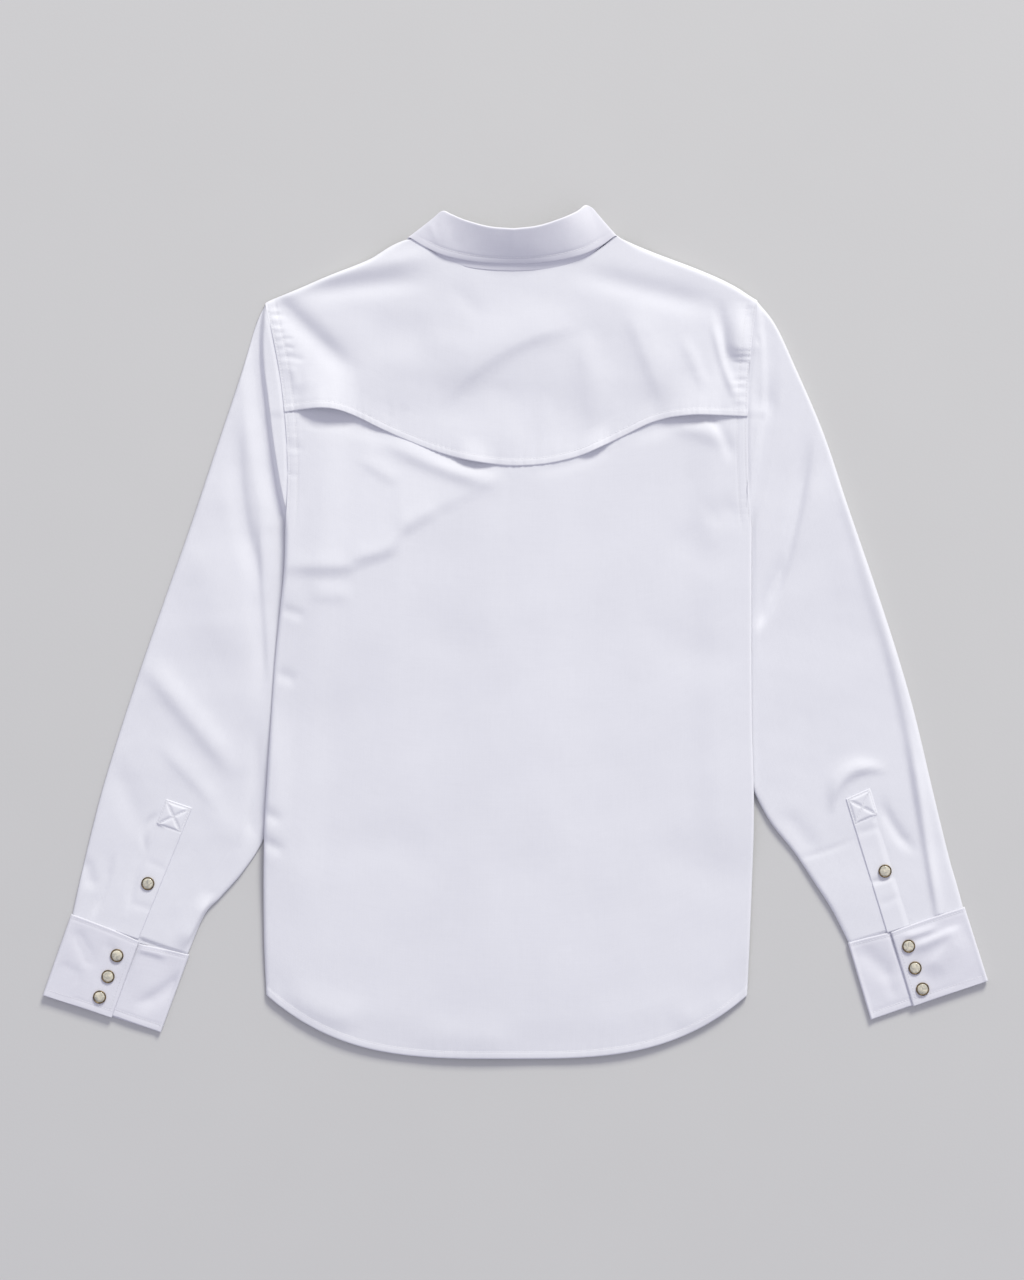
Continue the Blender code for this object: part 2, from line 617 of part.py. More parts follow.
def make_collar_stand(material, collection):
    """The stand inside the leaf, from the neck seam up to just inside the fold."""
    stations = collar_stations()
    outward = station_outward(stations[:, 0])
    seam = stations[:, 7:10]
    inside_fold = stations[:, 1:4] - outward * (INTERLINED + STAND_INSET)
    inside_fold[:, 1] -= STAND_DROP
    lap = np.zeros(len(stations) + 2)
    lap[-1] = 1.0
    lap[-1 - STAND_LAP_STATIONS:-1] = np.linspace(0.0, 1.0, STAND_LAP_STATIONS)
    rows = []
    for step in np.linspace(0.0, 1.0, COLLAR_ROWS):
        row = seam + (inside_fold - seam) * step
        left_end = row[0] + np.array((STAND_OVERLAP, 0.0, 0.0))
        right_end = row[-1] - np.array((STAND_OVERLAP, 0.0, 0.0))
        row = np.vstack((left_end, row, right_end))
        row[:, 2] += (INTERLINED + GAP) * lap
        rows.append(row)
    return cloth_wall("collar_stand", np.array(rows), INTERLINED, material, collection)


# --- Snaps ----------------------------------------------------------------------------------------

def turned_mesh(name, profile, material, closed=False):
    """Mesh of a (radius, height) profile turned about Z, its outer side listed from top to bottom."""
    points = [(radius * MM, 0.0, height * MM) for radius, height in profile]
    edges = [(index, index + 1) for index in range(len(points) - 1)]
    if closed:
        edges.append((len(points) - 1, 0))
    mesh = bpy.data.meshes.new(name)
    mesh.from_pydata(points, edges, [])
    mesh.materials.append(material)
    return mesh


def add_turned(name, mesh, place, faces_down, collection):
    """One turned piece at its place, looking up or down."""
    item = link(bpy.data.objects.new(name, mesh), collection)
    item.location = [value * MM for value in place]
    item.rotation_euler = (math.pi if faces_down else 0.0, 0.0, 0.0)
    screw = item.modifiers.new("Turn", "SCREW")
    screw.steps = SNAP_STEPS
    screw.render_steps = SNAP_STEPS
    screw.use_merge_vertices = True
    screw.merge_threshold = MERGE_DISTANCE * MM
    return item


def make_snaps(rim_material, pearl_material, collection):
    """Pearl cap in a metal rim, four on each sleeve and a row down the front band."""
    rim_profile = [(SNAP_RADIUS - inset, height) for inset, height in RIM_PROFILE]
    pearl_radius = SNAP_RADIUS - RIM_WALL - GAP
    pearl_profile = [(pearl_radius * share, height) for share, height in PEARL_PROFILE]
    rim_mesh = turned_mesh("snap_rim", rim_profile, rim_material, closed=True)
    pearl_mesh = turned_mesh("snap_pearl", pearl_profile, pearl_material)
    for name, x, y, level in SLEEVE_SNAPS:
        add_turned(f"snap_{name}_rim", rim_mesh, (x, y, level + GAP), False, collection)
        add_turned(f"snap_{name}_pearl", pearl_mesh, (x, y, level + GAP), False, collection)
    facing_down = [("collar", *COLLAR_SNAP)]
    for index in range(FRONT_SNAPS):
        y = FRONT_SNAP_TOP_Y - FRONT_SNAP_PITCH * index
        facing_down.append((f"front_{index + 1}", 0.0, y, SNAP_RISE))
    for name, x, y, level in facing_down:
        add_turned(f"snap_{name}_rim", rim_mesh, (x, y, level), True, collection)
        add_turned(f"snap_{name}_pearl", pearl_mesh, (x, y, level), True, collection)


def main():
    """Build every piece of the shirt in one collection."""
    clear_scene()
    shirt = bpy.data.collections.new("western_dress_shirt")
    bpy.context.scene.collection.children.link(shirt)
    cloth = make_material("cotton", COTTON)
    band = make_material("interlined_cotton", INTERLINED_COTTON)
    pearl = make_material("pearl", PEARL)
    rim = make_material("antique_metal", ANTIQUE_METAL)
    make_back(cloth, shirt)
    make_back_yoke(cloth, shirt)
    make_front_left(cloth, shirt)
    make_front_right(cloth, shirt)
    make_front_placket(band, shirt)
    make_sleeve("sleeve_left", LEFT_SLEEVE, cloth, shirt)
    make_sleeve("sleeve_right", RIGHT_SLEEVE, cloth, shirt)
    make_cuff("cuff_left", LEFT_CUFF, LEFT_CUFF_COVER, band, shirt)
    make_cuff("cuff_right", RIGHT_CUFF, RIGHT_CUFF_COVER, band, shirt)
    make_sleeve_placket("sleeve_placket_left", LEFT_SLEEVE_PLACKET, LEFT_CUFF, band, shirt)
    make_sleeve_placket("sleeve_placket_right", RIGHT_SLEEVE_PLACKET, RIGHT_CUFF, band, shirt)
    make_collar_leaf(band, shirt)
    make_collar_stand(band, shirt)
    make_snaps(rim, pearl, shirt)


main()
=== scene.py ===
"""White western dress shirt, laid flat and face down: its cloth, thread and snaps, with floor and soft light.

The wearer's back faces up, the collar points along +Y and the tail hem along -Y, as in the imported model.
Lengths in this file are millimetres in that model's frame, unless a comment says metres, and MM turns them
into metres where a mesh is made.
"""

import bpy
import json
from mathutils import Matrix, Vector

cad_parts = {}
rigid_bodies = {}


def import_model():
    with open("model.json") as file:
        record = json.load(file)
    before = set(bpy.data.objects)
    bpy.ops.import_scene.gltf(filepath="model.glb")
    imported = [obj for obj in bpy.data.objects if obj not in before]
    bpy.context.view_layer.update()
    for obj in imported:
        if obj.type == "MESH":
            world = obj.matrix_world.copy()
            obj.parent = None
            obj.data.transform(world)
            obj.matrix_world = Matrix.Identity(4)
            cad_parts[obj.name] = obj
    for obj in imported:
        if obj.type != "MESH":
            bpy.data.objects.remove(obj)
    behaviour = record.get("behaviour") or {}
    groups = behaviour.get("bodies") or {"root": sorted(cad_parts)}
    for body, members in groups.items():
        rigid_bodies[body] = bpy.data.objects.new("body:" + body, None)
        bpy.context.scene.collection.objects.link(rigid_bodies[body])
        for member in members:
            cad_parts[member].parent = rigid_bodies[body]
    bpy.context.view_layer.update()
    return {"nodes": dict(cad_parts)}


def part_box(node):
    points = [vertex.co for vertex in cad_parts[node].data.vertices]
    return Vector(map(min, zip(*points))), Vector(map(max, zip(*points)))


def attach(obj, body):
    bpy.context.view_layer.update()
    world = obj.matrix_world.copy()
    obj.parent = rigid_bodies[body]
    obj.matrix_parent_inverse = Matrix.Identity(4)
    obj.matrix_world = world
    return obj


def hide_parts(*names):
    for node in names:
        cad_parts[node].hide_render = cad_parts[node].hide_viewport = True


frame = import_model()

import json
import math

import bmesh
import bpy
import numpy as np
from bpy.props import FloatProperty, FloatVectorProperty, PointerProperty
from mathutils import Vector
from mathutils.bvhtree import BVHTree

bl_info = {
    "name": "Western dress shirt",
    "version": (1, 0, 0),
    "blender": (4, 5, 0),
    "location": "3D View > Sidebar > Shirt",
    "description": "Cloth, thread, snaps and stage of a dress shirt that lies face down",
    "category": "Object",
}

MM = 0.001
LEFT, RIGHT = 0, 1
SIDE_NAMES = ("left", "right")
OUTWARD = (-1, 1)  # which way along X each side of the shirt faces

# --- Outline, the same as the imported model's
SHOULDER = ((-235.8, 309), (227.6, 312))
# x, y of the upper edge from each shoulder point to the neck
SHOULDER_LINES = (
    (
        (-235.8, 309), (-231, 312), (-205, 322.8), (-175.8, 335.4), (-150, 345.4), (-136, 351.4),
        (-127, 356.8), (-119, 361.8), (-112, 365.3), (-105, 367.8), (-99, 369.2), (-94, 370),
    ),
    (
        (94, 373.5), (97, 371.2), (101, 368.8), (117, 362), (133, 355.8), (150, 349.6), (170, 342),
        (190.8, 333.2), (207, 325), (221, 316), (227.6, 312),
    ),
)
UNDERARM_Y = 97
ARMHOLE_BOW = (9.3, -7)
NECK_CORNER_X = 94
NECK_CORNER_Y = (370, 373.5)
NECK_POWER = 3
BACK_NECK_Y = 340.9
FRONT_NECK_Y = 300
HEM_SIDE_Y = -340
TAIL_DROP = 61.5
TAIL_POWER = 3.3
TAIL_CENTRE_X = -8
TAIL_HALF_WIDTH = 228
# y, left x, right x
SIDES = (
    (-345, -234.5, 218),
    (-280, -237, 221),
    (-195, -236.5, 224),
    (-144, -234, 224),
    (-90, -230.5, 222.5),
    (-30, -226.5, 222),
    (20, -221.5, 222),
    (60, -217.5, 222),
    (UNDERARM_Y, -216.4, 222.2),
)
# x, y of the yoke's lower edge
YOKE_EDGE = (
    (-216.5, 206.3), (-203, 208.3), (-185, 209.8), (-170, 208.8), (-156, 204.8), (-143, 199), (-131, 193),
    (-106, 181.6), (-77, 170.2), (-48.5, 161.9), (-20, 157.3), (1.5, 155.9), (30, 158), (59, 164.8),
    (80.5, 173.8), (105, 185.6), (124, 195), (140, 200), (152, 202.2), (170, 203.6), (192, 203.2),
    (217, 202.2),
)

# x, y of the lower rim of the slack cloth below the left of the yoke
SLACK_RIM = (
    (-230, 61), (-190, 61), (-160, 62), (-146, 69), (-118, 80), (-104, 98), (-84, 112), (-60, 124),
    (-30, 138), (-10, 152),
)

# --- Heights
BODY_RISE = 5.7  # upper face of the back where nothing bulky lies below it
FRONT_TOP = 1  # upper face of a front that lies on the floor
SLEEVE_TUCKED = 2.9  # upper face of a sleeve under the side of the body
OVER_SLEEVE = 3.5  # how far a tucked sleeve lifts a front
OVER_COLLAR = 2.9  # how far the collar points lift the fronts
BAND_LIFT = 2.5  # how far the snaps lift the front band
BAND_WALL = 1.3
PLY_GAP = 0.3  # air between plies that lie on each other
BAND_END = (-392, -300)  # where that lift dies away towards the hem
FRONT_INSET = 3
BAND_HALF_WIDTH = 16
FRONT_OVERLAP = 14
YOKE_OVER = 1  # yoke above the back
YOKE_AT_SEAM = 0.8  # the same beside the armhole seams
SEAM_SINK = 0.3  # depth of the armhole seam
SEAM_GROOVE = 0.3  # depth of the stitches beside that seam, along a hem and on a cuff
HEM_GROOVE = 0.25
CUFF_GROOVE = 0.35
BACK_OVER_FRONT = 1.1  # least height of the back and of the yoke above the fronts
YOKE_OVER_FRONT = 2
BACK_UNDER_YOKE = 0.85  # least height of the yoke above the back
BACK_OVER_BAND = 1.7  # how far the front band, the tucked sleeves and the collar lift the back
BACK_OVER_SLEEVE = 2
BACK_OVER_COLLAR = 1.7
TAIL_SINK = 1.3  # how far the back comes down towards its hem
SLACK_SLOPE = 0.062  # how steeply the slack cloth below the left of the yoke climbs to its lower rim
SLACK_RISE = 5.5  # and how high it may stand there
SLACK_STEP = 0.34  # share of that height that falls away at the rim itself
UNDER_YOKE = 3  # how far the hidden top of the back sinks under the yoke

SIDE_ROLL = (4, 2.6)  # radius of the body's edge below the underarm
HEM_WIDTH = 6.5
HEM_STEP = 0.30
TOPSTITCHES = (1.8, 9.4)  # rows of stitches beside the armhole seam
CUFF_OVER_TOP = 5.6
CUFF_UNDER_TOP = 4.3
CUFF_HIDDEN_TOP = 3.4  # where the under end lies below the over end
CUFF_UNDERLAP = 0.17
CUFF_TOP_ROW = 3.2  # rows of stitches below the top seam of a cuff and above its bottom edge
CUFF_BOTTOM_ROW = 6.2
CUFF_COVERED = 5.5  # length of sleeve inside a cuff
PLACKET_OVER = 1
PLACKET_WALL = 0.8  # share of the band wall

# --- Creases laid one by one
# x0, y0, x1, y1, bow to the left of the run, width of a flank, height, how much wider the left flank is
YOKE_CREASES = (
    (-206, 331, -78, 354, 0, 9, 1.9, 0), (-204, 316, -80, 331, 2, 10, -2, 0),
    (-238, 324.5, -156, 247.5, -1, 11, -3.7, -0.1), (-68, 220, 56, 290, 13, 18, 2.5, 0.4),
    (-74, 212, 6, 226, 0, 20, -1, 0), (0, 196, 86, 202, 0, 34, -2.4, 0),
    (-142, 276, -78, 278, 0, 19, -1.4, 0), (-60, 326, -31, 294, 0, 9, -0.5, 0),
    (66, 276, 70, 186, 3, 13, 1.5, 0), (66, 262, 106, 256, 0, 18, -0.8, 0),
    (-206, 262, -196, 226, 0, 10, 1, 0), (108, 302, 140, 220, 0, 14, 2.1, 0.3),
    (158, 276, 178, 228, 0, 6, 1, 0), (186, 294, 208, 218, -3, 4.2, 2.2, 0.1),
    (192, 308, 198, 238, 0, 6, -2.2, -0.2), (58, 338, 192, 305, -1, 12, -2.3, 0),
    (-105, 214, -112, 190, 0, 4.5, -0.35, 0), (-120, 218, -118, 198, 0, 3.5, -0.3, 0),
    (-220, 276.5, -209, 275, 0, 1.8, -0.5, 0), (-218, 269, -208, 266, 0, 1.9, -0.6, 0),
    (-218, 260, -198, 255, 0, 3.4, -0.7, 0), (-229, 298, -219, 298.5, 0, 1.6, -0.3, 0),
    (-229, 288, -219, 287, 0, 1.6, -0.3, 0), (-212, 250, -206, 226, 2, 4.5, 0.9, 0),
    (205, 265.5, 226, 266.5, 0, 2.4, 0.4, 0.5), (203, 260.5, 227, 261, 0, 2.4, 0.6, 0.5),
    (204, 255.5, 225, 255.5, 0, 2.4, 0.5, 0.5), (203, 235.5, 216, 237, 0, 1.8, -0.22, 0),
    (202, 229, 215, 230, 0, 1.8, -0.18, 0), (-180, 236, -120, 214, 0, 18, 0.8, 0),
)
BACK_CREASES = (
    (-206, 201, -108, 180, 5, 9, -1.3, 0), (-82, 168, -12, 151, -2, 6, -1, 0),
    (20, 151, 96, 178, -4, 6, -0.8, 0), (112, 184, 210, 200, 5, 7, -1.3, 0),
    (-122, 179, -20, 139, -3, 9.5, 2.3, 0.2), (-146, 163, -110, 141, 0, 7, 0.9, 0.2),
    (-108, 97, -74, 114, 0, 9, 0.8, 0.2), (-218, 62, -150, 62, 0, 8.5, 0.8, 0.3),
    (-154, 70, -106, 82, -2, 7.5, 0.7, 0.3), (-192, 36, -154, 34, 0, 8, 0.8, 0.2),
    (-221, 22, -198, 15, 0, 5, -0.9, 0), (-224, -38, -206, -46, 0, 6, -1, 0),
    (-218, 176, -200, 172, 0, 3, -0.7, 0), (-218, 150, -204, 146, 0, 3, -0.5, 0),
    (142, 196, 200, 178, 3, 9, 1.6, 0.1), (182, 206, 203, 162, 2, 5, -1.7, 0.2),
    (-226, -84, -230, -224, 0, 14, 2.4, 0), (-215, 130, -214, 10, 0, 12, 1.4, 0),
    (146, 92, 196, 60, 0, 17, -0.9, 0), (120, 2, 210, -34, 0, 22, -0.8, 0),
    (-120, 4, -20, -30, 6, 24, -0.7, 0), (-160, -196, -70, -214, 5, 22, -0.8, 0),
    (-40, -206, 40, -236, 0, 26, -0.6, 0), (130, -204, 216, -236, 0, 22, -0.8, 0),
    (-214, -336, -146, -366, -6, 13, 1.7, 0.2), (150, -368, 204, -344, -4, 13, 1.4, 0.2),
    (-96, -378, 4, -386, 0, 14, 1, 0), (-242, -166, -220, -178, 0, 6, -1.3, 0),
    (-242, -194, -218, -206, 0, 6, -1.4, 0), (208, 120, 180, 104, 0, 12, -0.9, 0),
)
SLEEVE_CREASES = (
    (
        (-262, 196, -242, 50, -5, 9, -2.6, -0.3), (-246, 104, -236, -58, 0, 7.5, -2.3, -0.45),
        (-252, -172, -238, -176, 0, 14, -1.6, 0), (-241, -96, -243, -196, 0, 7, -1.4, 0),
        (-349.5, -28, -263, -132, 0, 11, 2.6, 0.18), (-332, -108, -282, -162, 0, 8, 1.1, 0.3),
        (-300, 92, -262, -20, -4, 24, 1.6, 0), (-336, -170, -349, -206, -6, 3, -1.3, 0),
        (-347, -196, -364, -262, -2, 4, -1.1, 0), (-379, -212, -398, -268, 2, 3.6, -1.4, -0.2),
        (-405, -212, -398, -242, 0, 6, -1.3, 0), (-287, -250, -314, -298, 0, 6, 3.4, -0.5),
        (-376, -120, -352, -190, 0, 12, -1.2, 0), (-300, -150, -262, -196, 0, 14, 0.8, 0),
    ),
    (
        (276, 178, 246, 36, 3, 6.6, -3, -0.35), (251, 68, 221, -2, 5, 6.6, -2.8, -0.3),
        (286, 150, 260, 60, 0, 9, 1, 0), (244, 52, 222, 4, 0, 6, -1, 0), (303, 152, 349, -14, 0, 6, 1.4, 0),
        (341, 26, 388, -190, 3, 7.5, 2.7, 0.35), (370, -104, 400, -282, 0, 4.4, 2.8, 0.25),
        (230, 275, 220, 272, 0, 4, -2.4, 0), (297, -165, 345, -128, 15, 7, 3.1, 0.3),
        (344, -160, 374, -206, -3, 5.5, -1.8, 0), (262, -214, 318, -195, -2, 3, -0.5, 0),
        (218, 218, 246, 214, 0, 14, -1.6, 0), (252, -170, 284, -208, 0, 9, -1, 0),
        (300, 150, 318, 40, 0, 24, 1, 0),
    ),
)
CUFF_CREASES = (
    (
        (-414, -280, -398, -314, 0, 6, -1.3, 0), (-356, -297, -328, -305, 0, 5, 1.5, 0.4),
        (-312, -322, -356, -352, 2, 7, -2, 0.2), (-430, -316, -408, -326, 0, 7, -0.8, 0),
        (-384, -290, -372, -316, 0, 5, -0.6, 0),
    ),
    (
        (396, -277, 364, -286.5, 1, 3, 1.6, 0.1), (418, -278, 371, -298, 0, 4.6, 2.3, 0.3),
        (416, -282, 386, -318, 2, 9, 2.3, 0.3), (322, -296, 356, -326, 0, 9, -1.5, 0),
        (348, -316, 356, -344, 0, 6, -0.8, 0),
    ),
)
PLACKET_CREASES = (
    (
        (-350, -214, -328, -224, 0, 4, -0.3, 0), (-362, -254, -340, -262, 0, 4, -0.4, 0),
    ),
    (
        (320, -190, 346, -182, 0, 4, -0.6, 0), (332, -236.5, 358, -228.5, 0, 2.8, -1, 0),
        (342, -257, 364, -247, 0, 4, -0.45, 0),
    ),
)
ARMHOLE_PUCKERS = (0.2, 0.13)  # height of the waves along each armhole seam
# Swell above the pinched cloth by the right armhole, in every ply alike: centre x, centre y, half width,
# reach above, reach below, depth (less than 0 for a swell) and the share of that reach that is level
ARMHOLE_SWELLS = (
    (210, 272, 15, 42, 20, -5, 0.1),
)
# Lifted stretches of the yoke's edge: centre x, half width, lift, reach up from the edge
YOKE_VENTS = (
    (-176, 31, 8.6, 50), (-140, 20, 1.2, 28), (-40, 21, 3.5, 26), (75, 16, 3.7, 24), (120, 18, 1, 24),
    (163, 33, 4.6, 44),
)

YOKE_TACKS = (-107.6, 0.5, 104.8)  # where short bars hold the yoke's edge down

# --- Sleeves
SLEEVE_WIDTH = 130  # nominal width that its grid is spaced for
SLEEVE_TOP = 4.1  # height at the wrist
SLEEVE_THICKER = 1.5  # how much higher it is at the underarm
SLEEVE_ROLL = 4.5  # radius of both long edges
SLEEVE_MIDDLE = 2.1  # height where the top and the underside meet
# outer x, outer y, inner x, inner y, bow of each ring from the armhole to the cuff
SLEEVES = (
    (
        (-236.3, 309, -209, 90, 0), (-244.2, 289.5, -209, 82, 2.5), (-258, 243, -208.5, 64, 1),
        (-283, 168, -202, 28, 0), (-306, 99, -196, -7, 0), (-328.5, 35, -197, -45, 0),
        (-349.5, -25, -205, -90, 0), (-370, -87, -218, -140, 0), (-387.5, -144, -236, -193, 0),
        (-398, -184, -256, -225, 0), (-405.5, -215, -277, -249, 0), (-411.5, -241, -293, -267, 0),
        (-417.9, -271, -310.5, -308.3, 0),
    ),
    (
        (228.1, 312, 213, 90, 0), (244.4, 289.3, 212.8, 80, -2.5), (262, 252, 212.5, 64, -1),
        (289.5, 188, 205, 28, 0), (313, 118, 196, -5, 0), (336, 51, 194, -38, 0), (357, -13, 200, -76, 0),
        (374.5, -73, 211.5, -121, 0), (390, -138, 236, -173, 0), (400, -180, 262, -207, 0),
        (409, -216, 282, -237, 0), (416, -240, 298, -262, 0), (422.5, -264.3, 315.9, -297.3, 0),
    ),
)
# Fold line of the sleeve cap beside the armhole: y, x
CREVICES = (
    (
        (100, -216.4), (104, -217), (122, -221.2), (147, -226.2), (182, -231.6), (218, -236), (246, -239.6),
        (270, -240.8), (293, -239.6), (312, -236.6),
    ),
    (
        (100, 222.6), (104, 222.8), (121, 223.3), (137, 226), (168, 231.7), (198, 235.5), (209, 238),
        (246, 238.4), (280, 236), (303, 233), (315, 229),
    ),
)
CREVICE_LOW = (1.5, 5)  # height of the sleeve along that line
# y, height of the sleeve beside the body below the underarm
SIDE_LOWS = (
    ((-260, 1.6), (-150, 2.4), (-105, 3.2), (-60, 4.2), (-20, 4), (30, 2.5), (97, 1.6)),
    ((-260, 4.5), (97, 4.5)),
)
CREVICE_FLOOR = (4, 0)  # width that stays at that height
CREVICE_REACH = (18, 12)  # how soon the sleeve rises outside it
SIDE_REACH = (20, 5)  # the same below the underarm
CAP_SWELL = (0.6, 0.5)  # how far the cap between the seam and that line swells above the seam
CAP_FALL = (4.4, 7.5)  # how steeply the cap falls to that line

# top outer, bottom outer, bottom inner, top inner corners of each cuff
CUFFS = (
    ((-417.8, -265.1), (-444.6, -341.5), (-333.7, -376.5), (-306.9, -303.6)),
    ((422.5, -258.5), (444.6, -328), (334.2, -364.7), (312.6, -292.3)),
)
CUFF_COVERS = (0.587, 0.641)
CUFF_SAGS = (((3, 0.6), (5.6, -1.4)), ((2.2, 0.4), (2.2, -0.6)))  # over end and under end, at top and bottom
# corner, next corner and run down to the cuff of each sleeve placket
PLACKETS = (
    ((-329, -157), (-304.1, -165.4), (-38.5, -94)), ((310.7, -157), (333.7, -146.6), (32, -104)),
)
PLACKET_BOX = 25
BOX_INSET = 1.6
SEWN_REACH = (12, 9)  # how gently the sewn edge of each placket sinks into the sleeve

# --- Collar: stations from the centre back round to the centre front
LEAF_WIDTH, LEAF_RUN = 36.5, 36  # nominal width that the leaf bulges over, and up to the turn of its fold
LEAF_ROW = 6  # row of stitches above its lower edge
# turn, fold x, fold y, fold z, edge x, edge y, edge z, seam x, seam y, seam z
COLLAR = (
    (0, -1.5, 376, 27.2, -2, 345.2, 12.8, -3, 338.4, 10),
    (0, -24, 378.4, 24.2, -24, 345.8, 12.5, -24, 339.4, 10),
    (0, -46, 385, 19.6, -46, 348.2, 11.7, -45, 342.2, 9.5),
    (10, -60, 391.4, 15.4, -68, 353.4, 11.2, -64, 348.6, 8.4),
    (40, -68.2, 395.4, 12.2, -86, 361.8, 9.8, -78, 357.6, 8),
    (90, -73, 391.6, 9.6, -101, 370.4, 8.6, -88, 366, 7.2), (140, -71, 386, 4.2, -99, 358, 0.8, -86, 366, 4),
    (180, -58, 372, 2, -92, 330, 0, -76, 348, 3.2), (180, -36, 352, 1.5, -80, 302, 0, -52, 320, 3.2),
    (180, -18, 341, 1.5, -66, 284, 0, -24, 304, 3.2), (180, -8, 338, 1.5, -52, 270, 0, -8, 300.4, 3.2),
)
# station of the right half, then how far its fold and its edge move along X, Y and Z
COLLAR_RIGHT_SHIFTS = (
    (0, 0, 0, 0, 0, 0, 0), (1, 0, 0.3, 3.4, 0, 0.1, 0.9), (2, 0.5, 1.4, 5, 0, 0.4, 1.4),
    (3, 1, 2.6, 2.8, 0, 1, 1.1), (4, 1.2, 5.2, 0.4, -1, 1.4, 0.2), (5, 3.6, 4.6, 0, -3, 1.6, 0),
    (6, 2, 2.5, 0, -2, 1.5, 0), (8, 0, 0, 0, 0, 0, 0), (10, 0, 0, 0, 0, 0, 0),
)
COLLAR_MIDDLE_X = -1.5
LEAF_CREASES = (
    (-82, 386, -74, 366, 0, 3, 0.6, 0), (-64, 389, -54, 358, 0, 7, -0.5, 0), (56, 392, 46, 352, 0, 9, 0.6, 0),
)
COLLAR_BULGE = 0.6
FOLD_RADIUS = 1.5
STAND_OVERLAP = 20

SNAP_RADIUS = 6.25
SNAP_RIM_WIDTH = 1.25
SNAP_SEAT = 0.15  # how deep a snap sits in the cloth


# --- Sizes and colours that a user would change

def length_property(name, description, default, low, high):
    """A length in metres."""
    return FloatProperty(name=name, description=description, default=default, min=low, max=high,
                         subtype="DISTANCE", unit="LENGTH")


def colour_property(name, description, default):
    """A linear RGB colour."""
    return FloatVectorProperty(name=name, description=description, default=default, size=3, min=0, max=1,
                               subtype="COLOR")


class ShirtSizes(bpy.types.PropertyGroup):
    """Cloth, stitches and light."""
    wall: length_property("Cloth wall", "Thickness of one ply of shirting", 0.0007, 0.0003, 0.0015)
    band_wall: length_property("Band wall", "Thickness of cuffs, collar and plackets", 0.0011, 0.0005, 0.002)
    crease: FloatProperty(name="Crease depth", description="Share of the full depth of every laid crease",
                          default=1, min=0, max=1.5, subtype="FACTOR")
    stitch_pitch: length_property("Stitch pitch", "Distance from one stitch to the next",
                                  0.0028, 0.0015, 0.006)
    stitch_length: length_property("Stitch length", "Length of the thread that shows", 0.0021, 0.001, 0.005)
    threads: FloatProperty(name="Threads per metre", description="Count of the weave across a metre of cloth",
                           default=2600, min=500, max=8000)
    lamp: FloatProperty(name="Lamp", description="Power of the large soft lamp",
                        default=1370, min=0, max=9000, subtype="POWER", unit="POWER")
    sky: FloatProperty(name="Fill", description="Strength of the even light from all round",
                       default=0.60, min=0, max=5)


class ShirtColours(bpy.types.PropertyGroup):
    """Base colours of every material."""
    cotton: colour_property("Shirting", "Colour of the woven cotton", (0.80, 0.805, 0.865))
    band: colour_property("Bands", "Colour of collar, cuffs and plackets", (0.765, 0.765, 0.835))
    thread: colour_property("Thread", "Colour of the topstitching", (0.84, 0.84, 0.88))
    pearl: colour_property("Pearl", "Colour of the snap domes", (0.66, 0.63, 0.53))
    rim: colour_property("Rim", "Colour of the antique metal rims", (0.10, 0.075, 0.045))
    floor: colour_property("Floor", "Colour of the floor", (0.62, 0.62, 0.62))


# --- Curves and fields

def smooth(value, start, end):
    """0 at start and 1 at end, level beyond them, joined by the cubic 3t^2 - 2t^3; start may exceed end."""
    t = np.clip((value - start) / (end - start), 0, 1)
    return t * t * (3 - 2 * t)


def mix(start, end, share):
    """Straight run from start at share 0 to end at share 1."""
    return start + (end - start) * share


def edge_roll(distance, radius):
    """Quarter circle: 0 at an edge, 1 from one radius away from it."""
    t = 1 - np.clip(distance / radius, 0, 1)
    return np.sqrt(1 - t * t)


def edge_drop(distance, depth, radius):
    """How far a thin edge is rounded down: the depth times one minus the quarter circle."""
    return depth * (1 - edge_roll(distance, radius))


def groove(distance, width=0.9):
    """Bell curve across a sunk row of stitches: exp(-(distance / width)^2)."""
    return np.exp(-(distance / width) ** 2)


def soft_max(first, second, blend=0.8):
    """The larger of two fields, with the step between them rounded over the blend."""
    gap = np.clip(0.5 + 0.5 * (first - second) / blend, 0, 1)
    return second + (first - second) * gap + blend * gap * (1 - gap)


def rows_along(table, places):
    """Rows at fractional row numbers, on the Catmull-Rom curve through a table's rows."""
    table = np.asarray(table, float)
    padded = np.vstack((2 * table[0] - table[1], table, 2 * table[-1] - table[-2]))
    places = np.clip(np.asarray(places, float), 0, len(table) - 1)
    index = np.minimum(places.astype(int), len(table) - 2)
    t = (places - index)[:, None]
    before, start, end, after = (padded[index + step] for step in range(4))
    return start + 0.5 * t * ((end - before) + t * ((2 * before - 5 * start + 4 * end - after)
                              + t * (3 * (start - end) + after - before)))


def curve_at(value, table, column=1):
    """A column of a table as a smooth function of its first, rising column."""
    dense = rows_along(table, np.linspace(0, len(table) - 1, 40 * len(table)))
    return np.interp(value, dense[:, 0], dense[:, column])


def creases(x, y, table):
    """Sum of grooves and ridges: each is a bell curve across a bowed line, exp(-(distance / flank)^2), faded
    over the last third at both ends; its left flank is wider than the right one by the skew."""
    total = np.zeros_like(x)
    for x0, y0, x1, y1, bow, width, height, skew in table:
        length = math.hypot(x1 - x0, y1 - y0)
        run_x, run_y = (x1 - x0) / length, (y1 - y0) / length
        along = ((x - x0) * run_x + (y - y0) * run_y) / length
        inside = np.clip(along, 0, 1)
        across = (y - y0) * run_x - (x - x0) * run_y - 4 * bow * inside * (1 - inside)
        flank = width * (1 + skew * np.tanh(across / (0.25 * width)))
        fade = smooth(along, -0.12, 0.3) * smooth(along, 1.12, 0.7)
        total += height * fade * np.exp(-(across / flank) ** 2)
    return total * bpy.context.scene.shirt_sizes.crease


